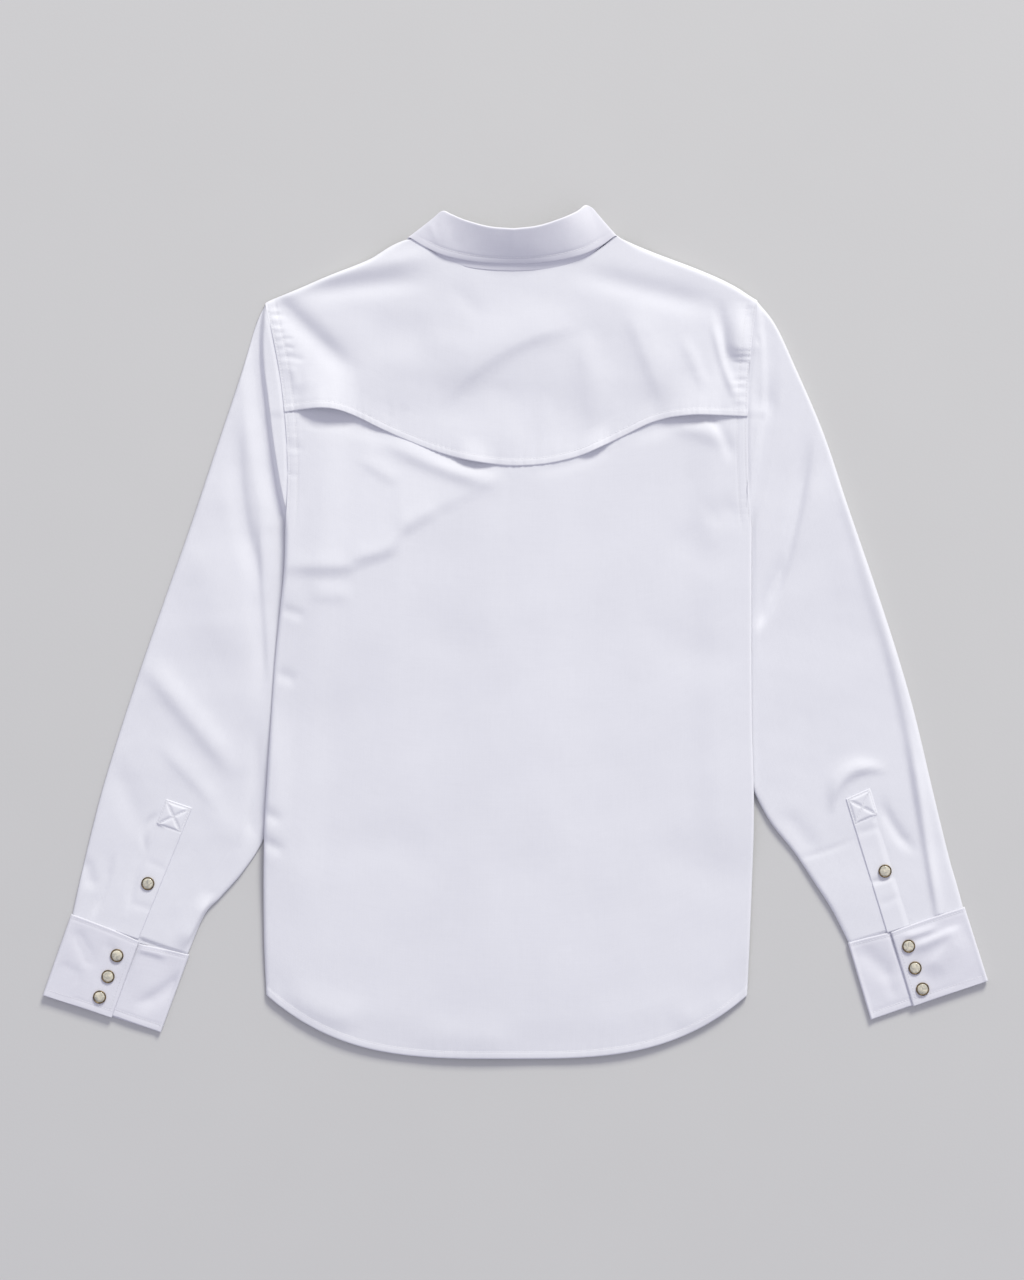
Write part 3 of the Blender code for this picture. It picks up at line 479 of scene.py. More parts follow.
def hollows(x, y, table):
    """Sum of oval hollows, or swells where the depth is negative, with walls of the cubic 3t^2 - 2t^3."""
    total = np.zeros_like(x)
    for centre_x, centre_y, half_width, above, below, depth, floor_share in table:
        reach = np.hypot((x - centre_x) / half_width, (y - centre_y) / np.where(y > centre_y, above, below))
        total -= depth * smooth(reach, 1, floor_share)
    return total


def lumps(x, y, wavelength, seed):
    """Sum of seven sine waves in seeded directions, each a little longer or shorter than the wavelength."""
    draw = np.random.default_rng(seed)
    total = np.zeros_like(x)
    for angle, phase, stretch in draw.uniform((0, 0, 0.7), (math.pi, 2 * math.pi, 1.6), (7, 3)):
        run = x * math.cos(angle) + y * math.sin(angle)
        total += np.sin(run * 2 * math.pi / (wavelength * stretch) + phase)
    return total / 3


def ripple(run, distance, pitch, reach, seed):
    """Puckers along a seam: a sine wave along the run whose phase and height follow two slower sines, times
    exp(-distance / reach)."""
    draw = np.random.default_rng(seed)
    first, second, third = draw.uniform(0, 2 * math.pi, 3)
    wave = (np.sin(2 * math.pi * run / pitch + first + 1.6 * np.sin(run / (3.1 * pitch) + second))
            * (0.55 + 0.45 * np.sin(run / (2.3 * pitch) + third)))
    return wave * np.exp(-np.clip(distance, 0, None) / reach)


# --- Outline

def armhole_x(y, side):
    """X of the armhole seam: the chord from underarm to shoulder with a parabolic bow."""
    shoulder_x, shoulder_y = SHOULDER[side]
    underarm_x = SIDES[-1][1 + side]
    t = np.clip((y - UNDERARM_Y) / (shoulder_y - UNDERARM_Y), 0, 1)
    return underarm_x + (shoulder_x - underarm_x) * t + ARMHOLE_BOW[side] * 4 * t * (1 - t)


def body_edge_x(y, side):
    """X of the body's edge: the side seam's smooth curve below the underarm, the armhole above it."""
    return np.where(y > UNDERARM_Y, armhole_x(y, side), curve_at(y, SIDES, 1 + side))


def hem_reach(x):
    """0 in the middle of the tail, 1 at its sides."""
    return np.clip(np.abs(x - TAIL_CENTRE_X) / TAIL_HALF_WIDTH, 0, 1)


def hem_y(x):
    """Shirt-tail hem: level at the sides, dropped in the middle by one minus a power of the reach."""
    return HEM_SIDE_Y - TAIL_DROP * (1 - hem_reach(x) ** TAIL_POWER)


def hem_distance(x, y):
    """Distance above the hem, measured square to its slope."""
    slope = TAIL_DROP * TAIL_POWER * hem_reach(x) ** (TAIL_POWER - 1) / TAIL_HALF_WIDTH
    return (y - hem_y(x)) / np.sqrt(1 + slope * slope)


def top_y(x, neck_middle_y):
    """Upper edge: a smooth curve through each shoulder line's places, and a power curve for the neck."""
    corner_y = np.where(x > 0, NECK_CORNER_Y[RIGHT], NECK_CORNER_Y[LEFT])
    shoulder = np.where(x > 0, curve_at(x, SHOULDER_LINES[RIGHT]), curve_at(x, SHOULDER_LINES[LEFT]))
    neck = mix(neck_middle_y, corner_y, np.clip(np.abs(x) / NECK_CORNER_X, 0, 1) ** NECK_POWER)
    return np.where(np.abs(x) > NECK_CORNER_X, shoulder, neck)


def yoke_y(x):
    """Lower edge of the yoke: the smooth curve through its table."""
    return curve_at(x, YOKE_EDGE)


# --- Heights of the body

def tuck(x, y):
    """1 where the body lies on a sleeve tucked under its side, falling to 0 by cubics 3t^2 - 2t^3 towards the
    middle, the hem and the shoulder."""
    left = smooth(x - body_edge_x(y, LEFT), 66, 30) * smooth(y, -285, -215)
    right = smooth(body_edge_x(y, RIGHT) - x, 66, 30) * smooth(y, -240, -170)
    return np.maximum(left, right) * smooth(y, 255, 195)


def band_rise(x, y, outer, inner):
    """1 over the snapped front band and 0 beside it, times the same cubic towards the hem."""
    return smooth(np.abs(x), outer, inner) * smooth(y, *BAND_END)


def front_lift(x, y):
    """Underside of the fronts: on the floor, over the tucked sleeves, and over the collar points."""
    over_collar = OVER_COLLAR * smooth(y, 225, 280) * smooth(np.abs(x), 150, 112)
    return np.maximum(OVER_SLEEVE * tuck(x, y), over_collar)


def front_top(x, y):
    """Upper face of whichever front is uppermost."""
    over_band = (BAND_LIFT + BAND_WALL + PLY_GAP) * band_rise(x, y, outer=62, inner=26)
    return np.maximum(front_lift(x, y), over_band) + FRONT_TOP


def body_form(x, y):
    """The back without its creases: a level sheet that bulky things below it lift and the hem lets down."""
    over_band = BACK_OVER_BAND * band_rise(x, y, outer=84, inner=20)
    over_sleeve = BACK_OVER_SLEEVE * tuck(x, y)
    over_collar = BACK_OVER_COLLAR * smooth(y, 200, 275) * smooth(np.abs(x), 215, 110)
    tail = -TAIL_SINK * smooth(hem_distance(x, y), 40, 0)
    lifted = soft_max(over_band, over_sleeve) + over_collar + slack_cloth(x, y)
    return BODY_RISE + lifted + tail + hollows(x, y, ARMHOLE_SWELLS)


def slack_cloth(x, y):
    """Cloth pushed down below the left of the yoke: it climbs evenly from the yoke's edge to a slanting rim,
    drops a step there and dies away below."""
    rim, yoke = curve_at(x, SLACK_RIM), yoke_y(x)
    depth = np.where(x < SLACK_RIM[-1][0], np.maximum(yoke - rim, 1), 1)
    rise = np.minimum(SLACK_SLOPE * (depth - 1), SLACK_RISE)
    rise = rise * mix(0.35, 1, smooth(x - body_edge_x(y, LEFT), 0, 40))
    climb = 1 - np.clip((y - rim) / depth, 0, 1)
    below = rim - y
    fall = SLACK_STEP * smooth(below, -3, 13) + (1 - SLACK_STEP) * smooth(below, 0, 190)
    return rise * (climb - fall)


def body_edges(x, y, z):
    """Bring a body sheet down at its sides: a quarter circle onto the front below the underarm, and a short
    one into the seam along the armhole."""
    for side in (LEFT, RIGHT):
        distance = OUTWARD[side] * (body_edge_x(y, side) - x)
        at_armhole = smooth(y, 90, 112)
        low = mix(front_top(x, y) + 0.5, z - SEAM_SINK, at_armhole)
        radius = mix(SIDE_ROLL[side], 1.6, at_armhole)
        z = low + (z - low) * edge_roll(distance, radius)
        pucker = ripple(y, distance - 9, pitch=7.5, reach=4, seed=11 + side) * at_armhole
        z = z + ARMHOLE_PUCKERS[side] * pucker * smooth(distance, 0, 4)
        z = z - SEAM_GROOVE * sum(groove(distance - row) for row in TOPSTITCHES) * at_armhole
    return z


def turned_hem(z, distance):
    """Raise a sheet over its doubled hem by a step of the cubic 3t^2 - 2t^3 and sink a groove at the stitches
    by a bell curve."""
    z = z + HEM_STEP * smooth(distance, HEM_WIDTH + 1.4, HEM_WIDTH - 0.6)
    return z - HEM_GROOVE * groove(distance - HEM_WIDTH)


def back_height(x, y):
    """Upper face of the back: the body's form plus creases and lumps, sunk where the yoke hides it, with its
    hem, and held above the fronts by a rounded maximum."""
    z = body_form(x, y) + creases(x, y, BACK_CREASES)
    z = z + 0.28 * lumps(x, y, wavelength=105, seed=3) + 0.06 * lumps(x, y, wavelength=38, seed=4)
    above_yoke_edge = y - yoke_y(x)
    z = z - UNDER_YOKE * smooth(above_yoke_edge, 4, 34)
    z = np.where(above_yoke_edge > 1, np.minimum(z, yoke_cloth(x, y) - BACK_UNDER_YOKE), z)
    distance = hem_distance(x, y)
    z = turned_hem(z, distance)
    z = z + 0.16 * ripple(x, distance - HEM_WIDTH, pitch=11, reach=6, seed=21)
    z = soft_max(z, front_top(x, y) + BACK_OVER_FRONT)
    z = body_edges(x, y, z)
    return z - edge_drop(distance, depth=0.7, radius=1.6)


def shoulder_roll(x, y, z):
    """Bring a sheet down over the shoulder line onto the front, outside the neck."""
    distance = (top_y(x, BACK_NECK_Y) - y) * 0.92
    outside_neck = smooth(np.abs(x), NECK_CORNER_X + 2, NECK_CORNER_X + 24)
    low = mix(z - 0.6, front_top(x, y) + 0.8, outside_neck)
    return low + (z - low) * edge_roll(distance, mix(1.5, 5, outside_neck))


def vent_lift(x, above_edge):
    """How far the yoke stands off the back: a squared parabola along each loose stretch, fading upwards."""
    lift = np.zeros_like(x)
    for centre, half_width, rise, reach in YOKE_VENTS:
        t = np.clip(np.abs(x - centre) / half_width, 0, 1)
        lift += rise * (1 - t * t) ** 1.6 * smooth(above_edge, reach, -0.25 * reach)
    return lift


def yoke_cloth(x, y):
    """The yoke without its edges: the body's form plus the ply below it, vents, creases and lumps, held above
    the fronts by a rounded maximum."""
    from_seam = np.minimum(x - body_edge_x(y, LEFT), body_edge_x(y, RIGHT) - x)
    z = body_form(x, y) + mix(YOKE_AT_SEAM, YOKE_OVER, smooth(from_seam, 0, 14))
    z = z + vent_lift(x, y - yoke_y(x)) + creases(x, y, YOKE_CREASES)
    z = z + 0.42 * lumps(x, y, wavelength=90, seed=7) + 0.06 * lumps(x, y, wavelength=32, seed=8)
    return soft_max(z, front_top(x, y) + YOKE_OVER_FRONT)


def yoke_height(x, y):
    """Upper face of the yoke: its cloth with a turned lower edge, sunk seams and rolled shoulders."""
    above_edge = y - yoke_y(x)
    z = turned_hem(yoke_cloth(x, y), above_edge)
    z = z + 0.20 * ripple(x, above_edge - HEM_WIDTH, pitch=5.5, reach=3, seed=23)
    z = z + 0.15 * ripple(x, above_edge, pitch=13, reach=14, seed=25)
    z = body_edges(x, y, z)
    z = shoulder_roll(x, y, z)
    return z - edge_drop(above_edge, depth=0.5, radius=1.2)


# --- Heights of the sleeves

def crevice_x(y, side):
    """X of the fold beside the armhole; below the underarm it runs on along the body's edge."""
    return np.where(y > CREVICES[side][0][0], curve_at(y, CREVICES[side]), body_edge_x(y, side))


def armhole_rise(y, side):
    """Upper face of the body at the bottom of its armhole seam."""
    on_yoke = smooth(y, 201, 207)
    return body_form(armhole_x(y, side), y) + YOKE_AT_SEAM * on_yoke - SEAM_SINK


def sleeve_height(x, y, side):
    """Upper face of a sleeve inside its rolled edges: level cloth that sinks by the cubic 3t^2 - 2t^3 towards
    the body's edge, or the cap that rises the same way from the fold line and ends below the armhole seam,
    whichever is higher; then creases, lumps and puckers."""
    outside_body = OUTWARD[side] * (x - body_edge_x(y, side))
    outside_fold = OUTWARD[side] * (x - crevice_x(y, side))
    at_armhole = smooth(y, 98, 122)
    full = SLEEVE_TOP + SLEEVE_THICKER * smooth(y, -170, 120)
    side_low = curve_at(y, SIDE_LOWS[side])
    beside_body = mix(np.minimum(side_low, SLEEVE_TUCKED - 0.3), side_low, smooth(outside_body, -3, 0))
    low = mix(beside_body, CREVICE_LOW[side], at_armhole)
    reach = mix(SIDE_REACH[side], CREVICE_REACH[side], at_armhole)
    open_cloth = low + (full - low) * smooth(outside_fold - CREVICE_FLOOR[side], 0, reach)
    dome = smooth(outside_body, 0, 4) * smooth(-outside_fold, 0, 5)
    cap_top = armhole_rise(y, side) - 0.2 + 0.2 * smooth(outside_body, 0.2, 2.6) + CAP_SWELL[side] * dome
    cap = low + (cap_top - low) * smooth(-outside_fold, -0.6, CAP_FALL[side])
    z = mix(open_cloth, soft_max(open_cloth, cap, 0.3), at_armhole)
    shown = smooth(outside_body, 0, 12)
    z = z + shown * creases(x, y, SLEEVE_CREASES[side])
    z = z + shown * (0.32 * lumps(x, y, wavelength=85, seed=31 + side)
                     + 0.06 * lumps(x, y, wavelength=30, seed=33 + side))
    pucker = ripple(y, outside_body, pitch=9, reach=3, seed=41 + side)
    z = z + 0.15 * at_armhole * pucker * smooth(outside_body, 0.5, 3)
    return np.maximum(z, 1.5)


# --- Meshes

def squares(rows, spans):
    """Row and column numbers of the four corners of every square in a grid."""
    row, column = np.meshgrid(np.arange(rows - 1), np.arange(spans), indexing="ij")
    return (np.stack((row, row, row + 1, row + 1), axis=-1).reshape(-1, 4),
            np.stack((column, column + 1, column + 1, column), axis=-1).reshape(-1, 4))


def travelled(points, axis):
    """Distance from the first point along one axis of a grid, added up from point to point."""
    steps = np.linalg.norm(np.diff(points, axis=axis), axis=-1)
    return np.insert(np.cumsum(steps, axis=axis), 0, 0, axis=axis)


def grid_piece(name, points, wall, material, closed=False, flip=None):
    """An object from a (rows, columns, 3) grid in millimetres, with a UV map in metres along both directions
    and a wall on its inner side. closed joins the last column to the first. Faces look up, or outwards by the
    signed volume on a tube, unless flip says which way round they go."""
    rows, columns = points.shape[:2]
    corner_rows, corner_columns = squares(rows, columns if closed else columns - 1)
    faces = corner_rows * columns + corner_columns % columns
    wrapped = np.concatenate((points, points[:, :1]), axis=1)
    across, down = travelled(wrapped, 1), travelled(wrapped, 0)
    across -= 0.5 * across[:, -2:-1]
    flat = points.reshape(-1, 3)
    if flip is None:
        first, second, third, last = (flat[faces[:, corner]] for corner in range(4))
        normal = np.cross(third - first, last - second)
        middle = 0.25 * (first + second + third + last) - flat.mean(axis=0)
        flip = float((normal * middle).sum() if closed else normal[:, 2].sum()) < 0
    if flip:
        faces, corner_rows, corner_columns = faces[:, ::-1], corner_rows[:, ::-1], corner_columns[:, ::-1]
    mesh = bpy.data.meshes.new(name)
    mesh.vertices.add(len(flat))
    mesh.vertices.foreach_set("co", (flat * MM).ravel())
    mesh.loops.add(faces.size)
    mesh.loops.foreach_set("vertex_index", faces.ravel())
    mesh.polygons.add(len(faces))
    mesh.polygons.foreach_set("loop_start", np.arange(0, faces.size, 4))
    mesh.update(calc_edges=True)
    layer = mesh.uv_layers.new(name="cut")
    uv = np.stack((across[corner_rows, corner_columns], down[corner_rows, corner_columns]), axis=-1) * MM
    layer.data.foreach_set("uv", uv.ravel())
    return finish_piece(name, mesh, material, wall)


def add_object(name, data):
    """An object in the scene's own collection."""
    item = bpy.data.objects.new(name, data)
    bpy.context.scene.collection.objects.link(item)
    return item


def finish_piece(name, mesh, material, wall=None):
    """Link a mesh as a smooth piece, with an even wall behind its faces where one is given."""
    mesh.polygons.foreach_set("use_smooth", np.ones(len(mesh.polygons), bool))
    mesh.materials.append(material)
    mesh.update()
    piece = add_object(name, mesh)
    if wall:
        solidify = piece.modifiers.new("Wall", "SOLIDIFY")
        solidify.thickness = wall
        solidify.offset = -1
        solidify.use_rim = True
    return piece


def stand_for(piece, slot, *nodes):
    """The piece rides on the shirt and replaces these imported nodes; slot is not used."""
    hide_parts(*nodes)
    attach(piece, "root")
    return piece


def cloth(name, x, y, z, wall, material, slot, node, **faces):
    """A sheet from its plan and heights in millimetres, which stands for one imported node."""
    piece = grid_piece(name, np.stack((x, y, z), axis=-1), wall, material, **faces)
    return stand_for(piece, slot, node)


def places_between(first, last, pitch, near_first=(), near_last=()):
    """Places from first to last: given steps beside each end and an even pitch between them."""
    start = first + (near_first[-1] if near_first else 0)
    end = last - (near_last[-1] if near_last else 0)
    count = max(2, int(round((end - start) / pitch)) + 1)
    return np.concatenate(([first + step for step in near_first[:-1]], np.linspace(start, end, count),
                           [last - step for step in near_last[-2::-1]]))


FIXED_HALF = 60  # half width of the columns in the middle that stay where they are
EDGE_BAND = 16  # width of the columns beside each edge that move as far as the edge does


def body_columns(nominal, y, inset=0):
    """Carry nominal places across the body to its real edges at height y, leaving the middle where it is."""
    left_share = np.clip((-FIXED_HALF - nominal) / (-FIXED_HALF - SHOULDER[LEFT][0] - EDGE_BAND), 0, 1)
    right_share = np.clip((nominal - FIXED_HALF) / (SHOULDER[RIGHT][0] - EDGE_BAND - FIXED_HALF), 0, 1)
    left_shift = body_edge_x(y, LEFT) + inset - SHOULDER[LEFT][0]
    right_shift = body_edge_x(y, RIGHT) - inset - SHOULDER[RIGHT][0]
    return nominal + left_shift * left_share + right_shift * right_share


def along_line(nominal, line):
    """A line's height at the real place of every nominal column, which itself moves with that height."""
    return line(body_columns(nominal, line(nominal)))


# distances of the rows or columns beside an edge, measured from it
EDGE_STEPS = (0, 0.5, 1.2, 2, 3, 4.2, 5.6, 7.2, 8.4, 9.4, 10.6, 12.5)
HEM_STEPS = (0, 0.7, 1.5, 2.8, 4.4, 5.6, 6.5, 7.4, 8.6, 10.5)
TOP_STEPS = (0, 0.5, 1.2, 2.2, 3.6, 5.4, 7.6)
# distances between the points of a grid, and counts of its rows or columns
FRONT_PITCH, BACK_PITCH, YOKE_PITCH, HIDDEN_PITCH = 7, 2.9, 1.9, 9
FRONT_ROWS = 100
COLLAR_STATIONS = 84
SNAP_STEPS = 32


def side_to_side(pitch):
    """Nominal places across the body, close together beside both edges."""
    return places_between(SHOULDER[LEFT][0], SHOULDER[RIGHT][0], pitch, EDGE_STEPS, EDGE_STEPS)


def body_rows(low, high, pitch, near_low, near_high):
    """Heights of the rows of every column: fixed steps beside both ends, even shares of the rest between."""
    count = int(np.max(high - low) / pitch)
    shares = np.linspace(0, 1, count)[:, None]
    start, end = low + near_low[-1], high - near_high[-1]
    return np.vstack([low + step for step in near_low[:-1]] + [start + (end - start) * shares]
                     + [high - step for step in near_high[-2::-1]])


# --- Materials

def feed(tree, socket, source):
    """Set an input to a value, or link it to a socket or to the first output of a node."""
    if isinstance(source, bpy.types.Node):
        source = source.outputs[0]
    if isinstance(source, bpy.types.NodeSocket):
        tree.links.new(source, socket)
    else:
        socket.default_value = source


def add_node(tree, kind, inputs=None, **settings):
    """A shader node with attributes set by name and inputs fed by name or position."""
    node = tree.nodes.new("ShaderNode" + kind)
    for key, value in settings.items():
        setattr(node, key, value)
    for key, source in (inputs or {}).items():
        feed(tree, node.inputs[key], source)
    return node


def calc(tree, operation, *values):
    """One Math node."""
    return add_node(tree, "Math", dict(enumerate(values)), operation=operation)


def bump(tree, height, depth, **inputs):
    """A Bump node that moves a normal by a height field of that depth in metres."""
    return add_node(tree, "Bump", {"Height": height, "Distance": depth, **inputs})


def shared_group(name, inputs, outputs, fill):
    """A node group made once. An input without a default is a vector, every other socket a float; fill gets
    the input sockets and returns what each output puts out."""
    if name in bpy.data.node_groups:
        return bpy.data.node_groups[name]
    group = bpy.data.node_groups.new(name, "ShaderNodeTree")
    for title, default in inputs.items():
        kind = "NodeSocketVector" if default is None else "NodeSocketFloat"
        socket = group.interface.new_socket(title, in_out="INPUT", socket_type=kind)
        if default is not None:
            socket.default_value = default
    for title in outputs:
        group.interface.new_socket(title, in_out="OUTPUT", socket_type="NodeSocketFloat")
    entry, result = group.nodes.new("NodeGroupInput"), group.nodes.new("NodeGroupOutput")
    for title, source in zip(outputs, fill(group, *(entry.outputs[title] for title in inputs))):
        feed(group, result.inputs[title], source)
    return group


def use_group(tree, group, **inputs):
    """A node that stands for a shared group."""
    return add_node(tree, "Group", inputs, node_tree=group)


def fill_weave(tree, place, threads, contrast):
    """Plain weave: warp and weft are rectified sines that a checker takes over and under each other, with
    slubs from long noise. It puts out a height from 0 to 1 and a shade around 1 that follows that height:
    painted shade where the threads lie low and a painted highlight on their crowns, slubs included."""
    axes = add_node(tree, "SeparateXYZ", {0: place})
    waves = []
    for axis in (0, 1):
        turns = calc(tree, "MULTIPLY", axes.outputs[axis], threads)
        waves.append(calc(tree, "ABSOLUTE", calc(tree, "SINE", calc(tree, "MULTIPLY", turns, math.pi))))
    over = add_node(tree, "TexChecker", {"Vector": place, "Scale": threads, "Color1": (1, 1, 1, 1),
                                         "Color2": (0, 0, 0, 1)}).outputs["Fac"]
    warp = calc(tree, "MULTIPLY", waves[0], over)
    weft = calc(tree, "MULTIPLY", waves[1], calc(tree, "SUBTRACT", 1, over))
    slubs = []
    for stretch in ((1, 0.03, 1), (0.03, 1, 1)):
        long_way = add_node(tree, "Mapping", {"Vector": place, "Scale": stretch})
        slubs.append(add_node(tree, "TexNoise", {"Vector": long_way, "Scale": 900, "Detail": 1}))
    slub = calc(tree, "SUBTRACT", calc(tree, "ADD", *slubs), 1)
    height = calc(tree, "ADD", calc(tree, "ADD", warp, weft), calc(tree, "MULTIPLY", slub, 0.5))
    # painted shade where the weave lies low and a painted highlight where it stands high
    shade = calc(tree, "MULTIPLY", calc(tree, "SUBTRACT", height, 0.6), contrast)
    return calc(tree, "ADD", shade, 1), height


def fill_rumple(tree, place, scale, fine):
    """Soft handling marks of cloth: two noises of different size added up, centred on 0."""
    broad_marks, fine_marks = (
        calc(tree, "SUBTRACT", add_node(tree, "TexNoise", {
            "Vector": place, "Scale": calc(tree, "MULTIPLY", scale, multiple), "Detail": 2}), 0.5)
        for multiple in (1, 4.3))
    return (calc(tree, "MULTIPLY_ADD", fine_marks, fine, broad_marks),)


def weave(tree, **inputs):
    """The shared plain weave."""
    group = shared_group("plain_weave", {"Vector": None, "Threads": 2600, "Contrast": 0.05},
                         ("Shade", "Height"), fill_weave)
    return use_group(tree, group, **inputs)


def rumple(tree, **inputs):
    """The shared handling marks."""
    group = shared_group("rumple", {"Vector": None, "Scale": 18, "Fine": 0.3}, ("Value",), fill_rumple)
    return use_group(tree, group, **inputs)


def tinted(tree, colour, factor):
    """A colour multiplied by a value that varies over the surface."""
    channels = (calc(tree, "MULTIPLY", factor, channel) for channel in colour)
    return add_node(tree, "CombineColor", dict(enumerate(channels)))


def make_material(name, fill):
    """A material made once; fill gets its tree and coordinates and returns the inputs of its shader."""
    if name in bpy.data.materials:
        return bpy.data.materials[name]
    material = bpy.data.materials.new(name)
    material.use_nodes = True
    tree = material.node_tree
    shader = tree.nodes["Principled BSDF"]
    for title, source in fill(tree, add_node(tree, "TexCoord").outputs).items():
        feed(tree, shader.inputs[title], source)
    return material


def cloth_material(name, colour, roughness, sheen, rumple_scale):
    """Woven cotton: weave on the piece's own UV map, with rumples and a faint change of tone on Object
    coordinates."""
    def fill(tree, place):
        threads = weave(tree, Vector=place["UV"], Contrast=0.06,
                        Threads=bpy.context.scene.shirt_sizes.threads)
        tone = rumple(tree, Vector=place["Object"], Scale=7, Fine=0.5)
        handled = rumple(tree, Vector=place["Object"], Scale=rumple_scale, Fine=0.35)
        # random tone times the weave's painted shade and highlight between and on the threads
        factor = calc(tree, "MULTIPLY_ADD", tone, 0.035, threads.outputs["Shade"])
        return {
            "Base Color": tinted(tree, colour, factor),
            "Roughness": calc(tree, "MULTIPLY_ADD", tone, 0.10, roughness),
            "Specular IOR Level": 0.3,
            "Sheen Weight": sheen,
            "Sheen Roughness": 0.45,
            "Normal": bump(tree, threads.outputs["Height"], 0.00003, Normal=bump(tree, handled, 0.0003)),
        }
    return make_material(name, fill)


def shirting():
    """Single ply of the body, yoke, sleeves and sleeve plackets."""
    return cloth_material("cotton_shirting", bpy.context.scene.shirt_colours.cotton, 0.78, 0.12, 26)


def banding():
    """Interlined cloth of the collar, cuffs and front band."""
    return cloth_material("interlined_cotton_band", bpy.context.scene.shirt_colours.band, 0.74, 0.10, 34)


def thread_material():
    """Spun thread: a fine twist of painted light and shade along Object coordinates, with a matching bump."""
    def fill(tree, place):
        twist = add_node(tree, "TexWave", {"Vector": place["Object"], "Scale": 700, "Distortion": 1.5},
                         bands_direction="DIAGONAL").outputs["Fac"]
        # painted light and shade along the twist, lighter where the bump stands high
        factor = calc(tree, "MULTIPLY_ADD", twist, 0.14, 0.92)
        return {"Base Color": tinted(tree, bpy.context.scene.shirt_colours.thread, factor),
                "Roughness": 0.5, "Sheen Weight": 0.2, "Normal": bump(tree, twist, 0.00004)}
    return make_material("sewing_thread", fill)


def mottled_material(name, noise, stops, roughness, depth, constants):
    """Noise clouds on Object coordinates that carry the colour from one stop to the other, the roughness as a
    multiple of the noise plus a start, and a bump."""
    def fill(tree, place):
        clouds = add_node(tree, "TexNoise", {"Vector": place["Object"], **noise})
        ramp = add_node(tree, "ValToRGB", {"Fac": clouds})
        for element, (position, colour) in zip(ramp.color_ramp.elements, stops):
            element.position, element.color = position, (*colour, 1)
        return {"Base Color": ramp, "Roughness": calc(tree, "MULTIPLY_ADD", clouds, *roughness),
                "Normal": bump(tree, clouds, depth), **constants}
    return make_material(name, fill)


def pearl_material():
    """Marbled pearl: warped noise clouds between cream and grey under a clear coat."""
    cream = np.array(bpy.context.scene.shirt_colours.pearl)
    return mottled_material(
        "marbled_pearl", {"Scale": 230, "Detail": 3, "Distortion": 1.2},
        ((0.30, cream * (0.55, 0.57, 0.60)), (0.68, cream * (1.25, 1.22, 1.15))),
        (0.12, 0.18), 0.00006, {"Coat Weight": 0.6, "Coat Roughness": 0.08})


def rim_material():
    """Antique metal: dark patina with brighter rubbed spots, both from noise."""
    dark = np.array(bpy.context.scene.shirt_colours.rim)
    return mottled_material(
        "antique_metal", {"Scale": 520, "Detail": 4}, ((0.38, dark), (0.72, dark * (3.4, 3.3, 3))),
        (-0.3, 0.62), 0.00008, {"Metallic": 0.85})


def floor_material():
    """Pale board: an even colour with a faint mottle and a trace of tooth."""
    def fill(tree, place):
        mottle = rumple(tree, Vector=place["Object"], Scale=3, Fine=0.6)
        tooth = add_node(tree, "TexNoise", {"Vector": place["Object"], "Scale": 400})
        factor = calc(tree, "MULTIPLY_ADD", mottle, 0.03, 1)
        return {"Base Color": tinted(tree, bpy.context.scene.shirt_colours.floor, factor),
                "Roughness": 0.9, "Normal": bump(tree, tooth, 0.0001, Strength=0.4)}
    return make_material("pale_floor", fill)


# --- Pieces

def front_grid(first_x, last_x):
    """Plan of a front between two places of its width, inset from the back's outline."""
    nominal = np.linspace(first_x, last_x, int((last_x - first_x) / FRONT_PITCH))
    low = along_line(nominal, hem_y) + FRONT_INSET
    high = top_y(nominal, FRONT_NECK_Y) - 2 * FRONT_INSET
    y = low + (high - low) * np.linspace(0, 1, FRONT_ROWS)[:, None]
    return body_columns(np.broadcast_to(nominal, y.shape), y, FRONT_INSET), y


def make_fronts(wall, band_wall):
    """The two fronts and the band between them: grids of the plan raised by the larger of what lies below."""
    x, y = front_grid(SHOULDER[LEFT][0], -BAND_HALF_WIDTH - 0.3)
    beside = BAND_LIFT * band_rise(x, y, outer=46, inner=17)
    z = np.maximum(front_lift(x, y), beside) + FRONT_TOP
    left = cloth("cloth_front_left", x, y, z, wall, shirting(), "cotton", "front_left")
    x, y = front_grid(-FRONT_OVERLAP, SHOULDER[RIGHT][0])
    right = cloth("cloth_front_right", x, y, front_top(x, y), wall, shirting(), "cotton", "front_right")
    low = float(hem_y(np.array(0))) + FRONT_INSET + 1
    x, y = np.meshgrid(np.linspace(-BAND_HALF_WIDTH, BAND_HALF_WIDTH, 7),
                       np.linspace(low, FRONT_NECK_Y - 2 * FRONT_INSET, 120))
    z = BAND_LIFT * smooth(y, *BAND_END) + BAND_WALL + 0.1
    band = cloth("cloth_front_band", x, y, z, band_wall, banding(), "interlined_cotton", "front_placket")
    return left, right, band


def make_back(wall):
    """The back: a grid of the plan with its height field, fine beside the hem and the sides."""
    nominal = side_to_side(BACK_PITCH)
    edge = along_line(nominal, yoke_y)
    lower = body_rows(along_line(nominal, hem_y), edge, BACK_PITCH, HEM_STEPS, (0, 1))
    upper = body_rows(edge, top_y(nominal, BACK_NECK_Y) - 2, HIDDEN_PITCH, (0, 3), (0, 2))
    y = np.vstack((lower, upper[1:]))
    x = body_columns(np.broadcast_to(nominal, y.shape), y)
    return cloth("cloth_back", x, y, back_height(x, y), wall, shirting(), "cotton", "back")


def make_yoke(wall):
    """The yoke: a finer grid from its wavy lower edge up to the shoulders and the neck."""
    nominal = side_to_side(YOKE_PITCH)
    y = body_rows(along_line(nominal, yoke_y), top_y(nominal, BACK_NECK_Y), YOKE_PITCH, HEM_STEPS, TOP_STEPS)
    x = body_columns(np.broadcast_to(nominal, y.shape), y)
    return cloth("cloth_yoke", x, y, yoke_height(x, y), wall, shirting(), "cotton", "back_yoke")


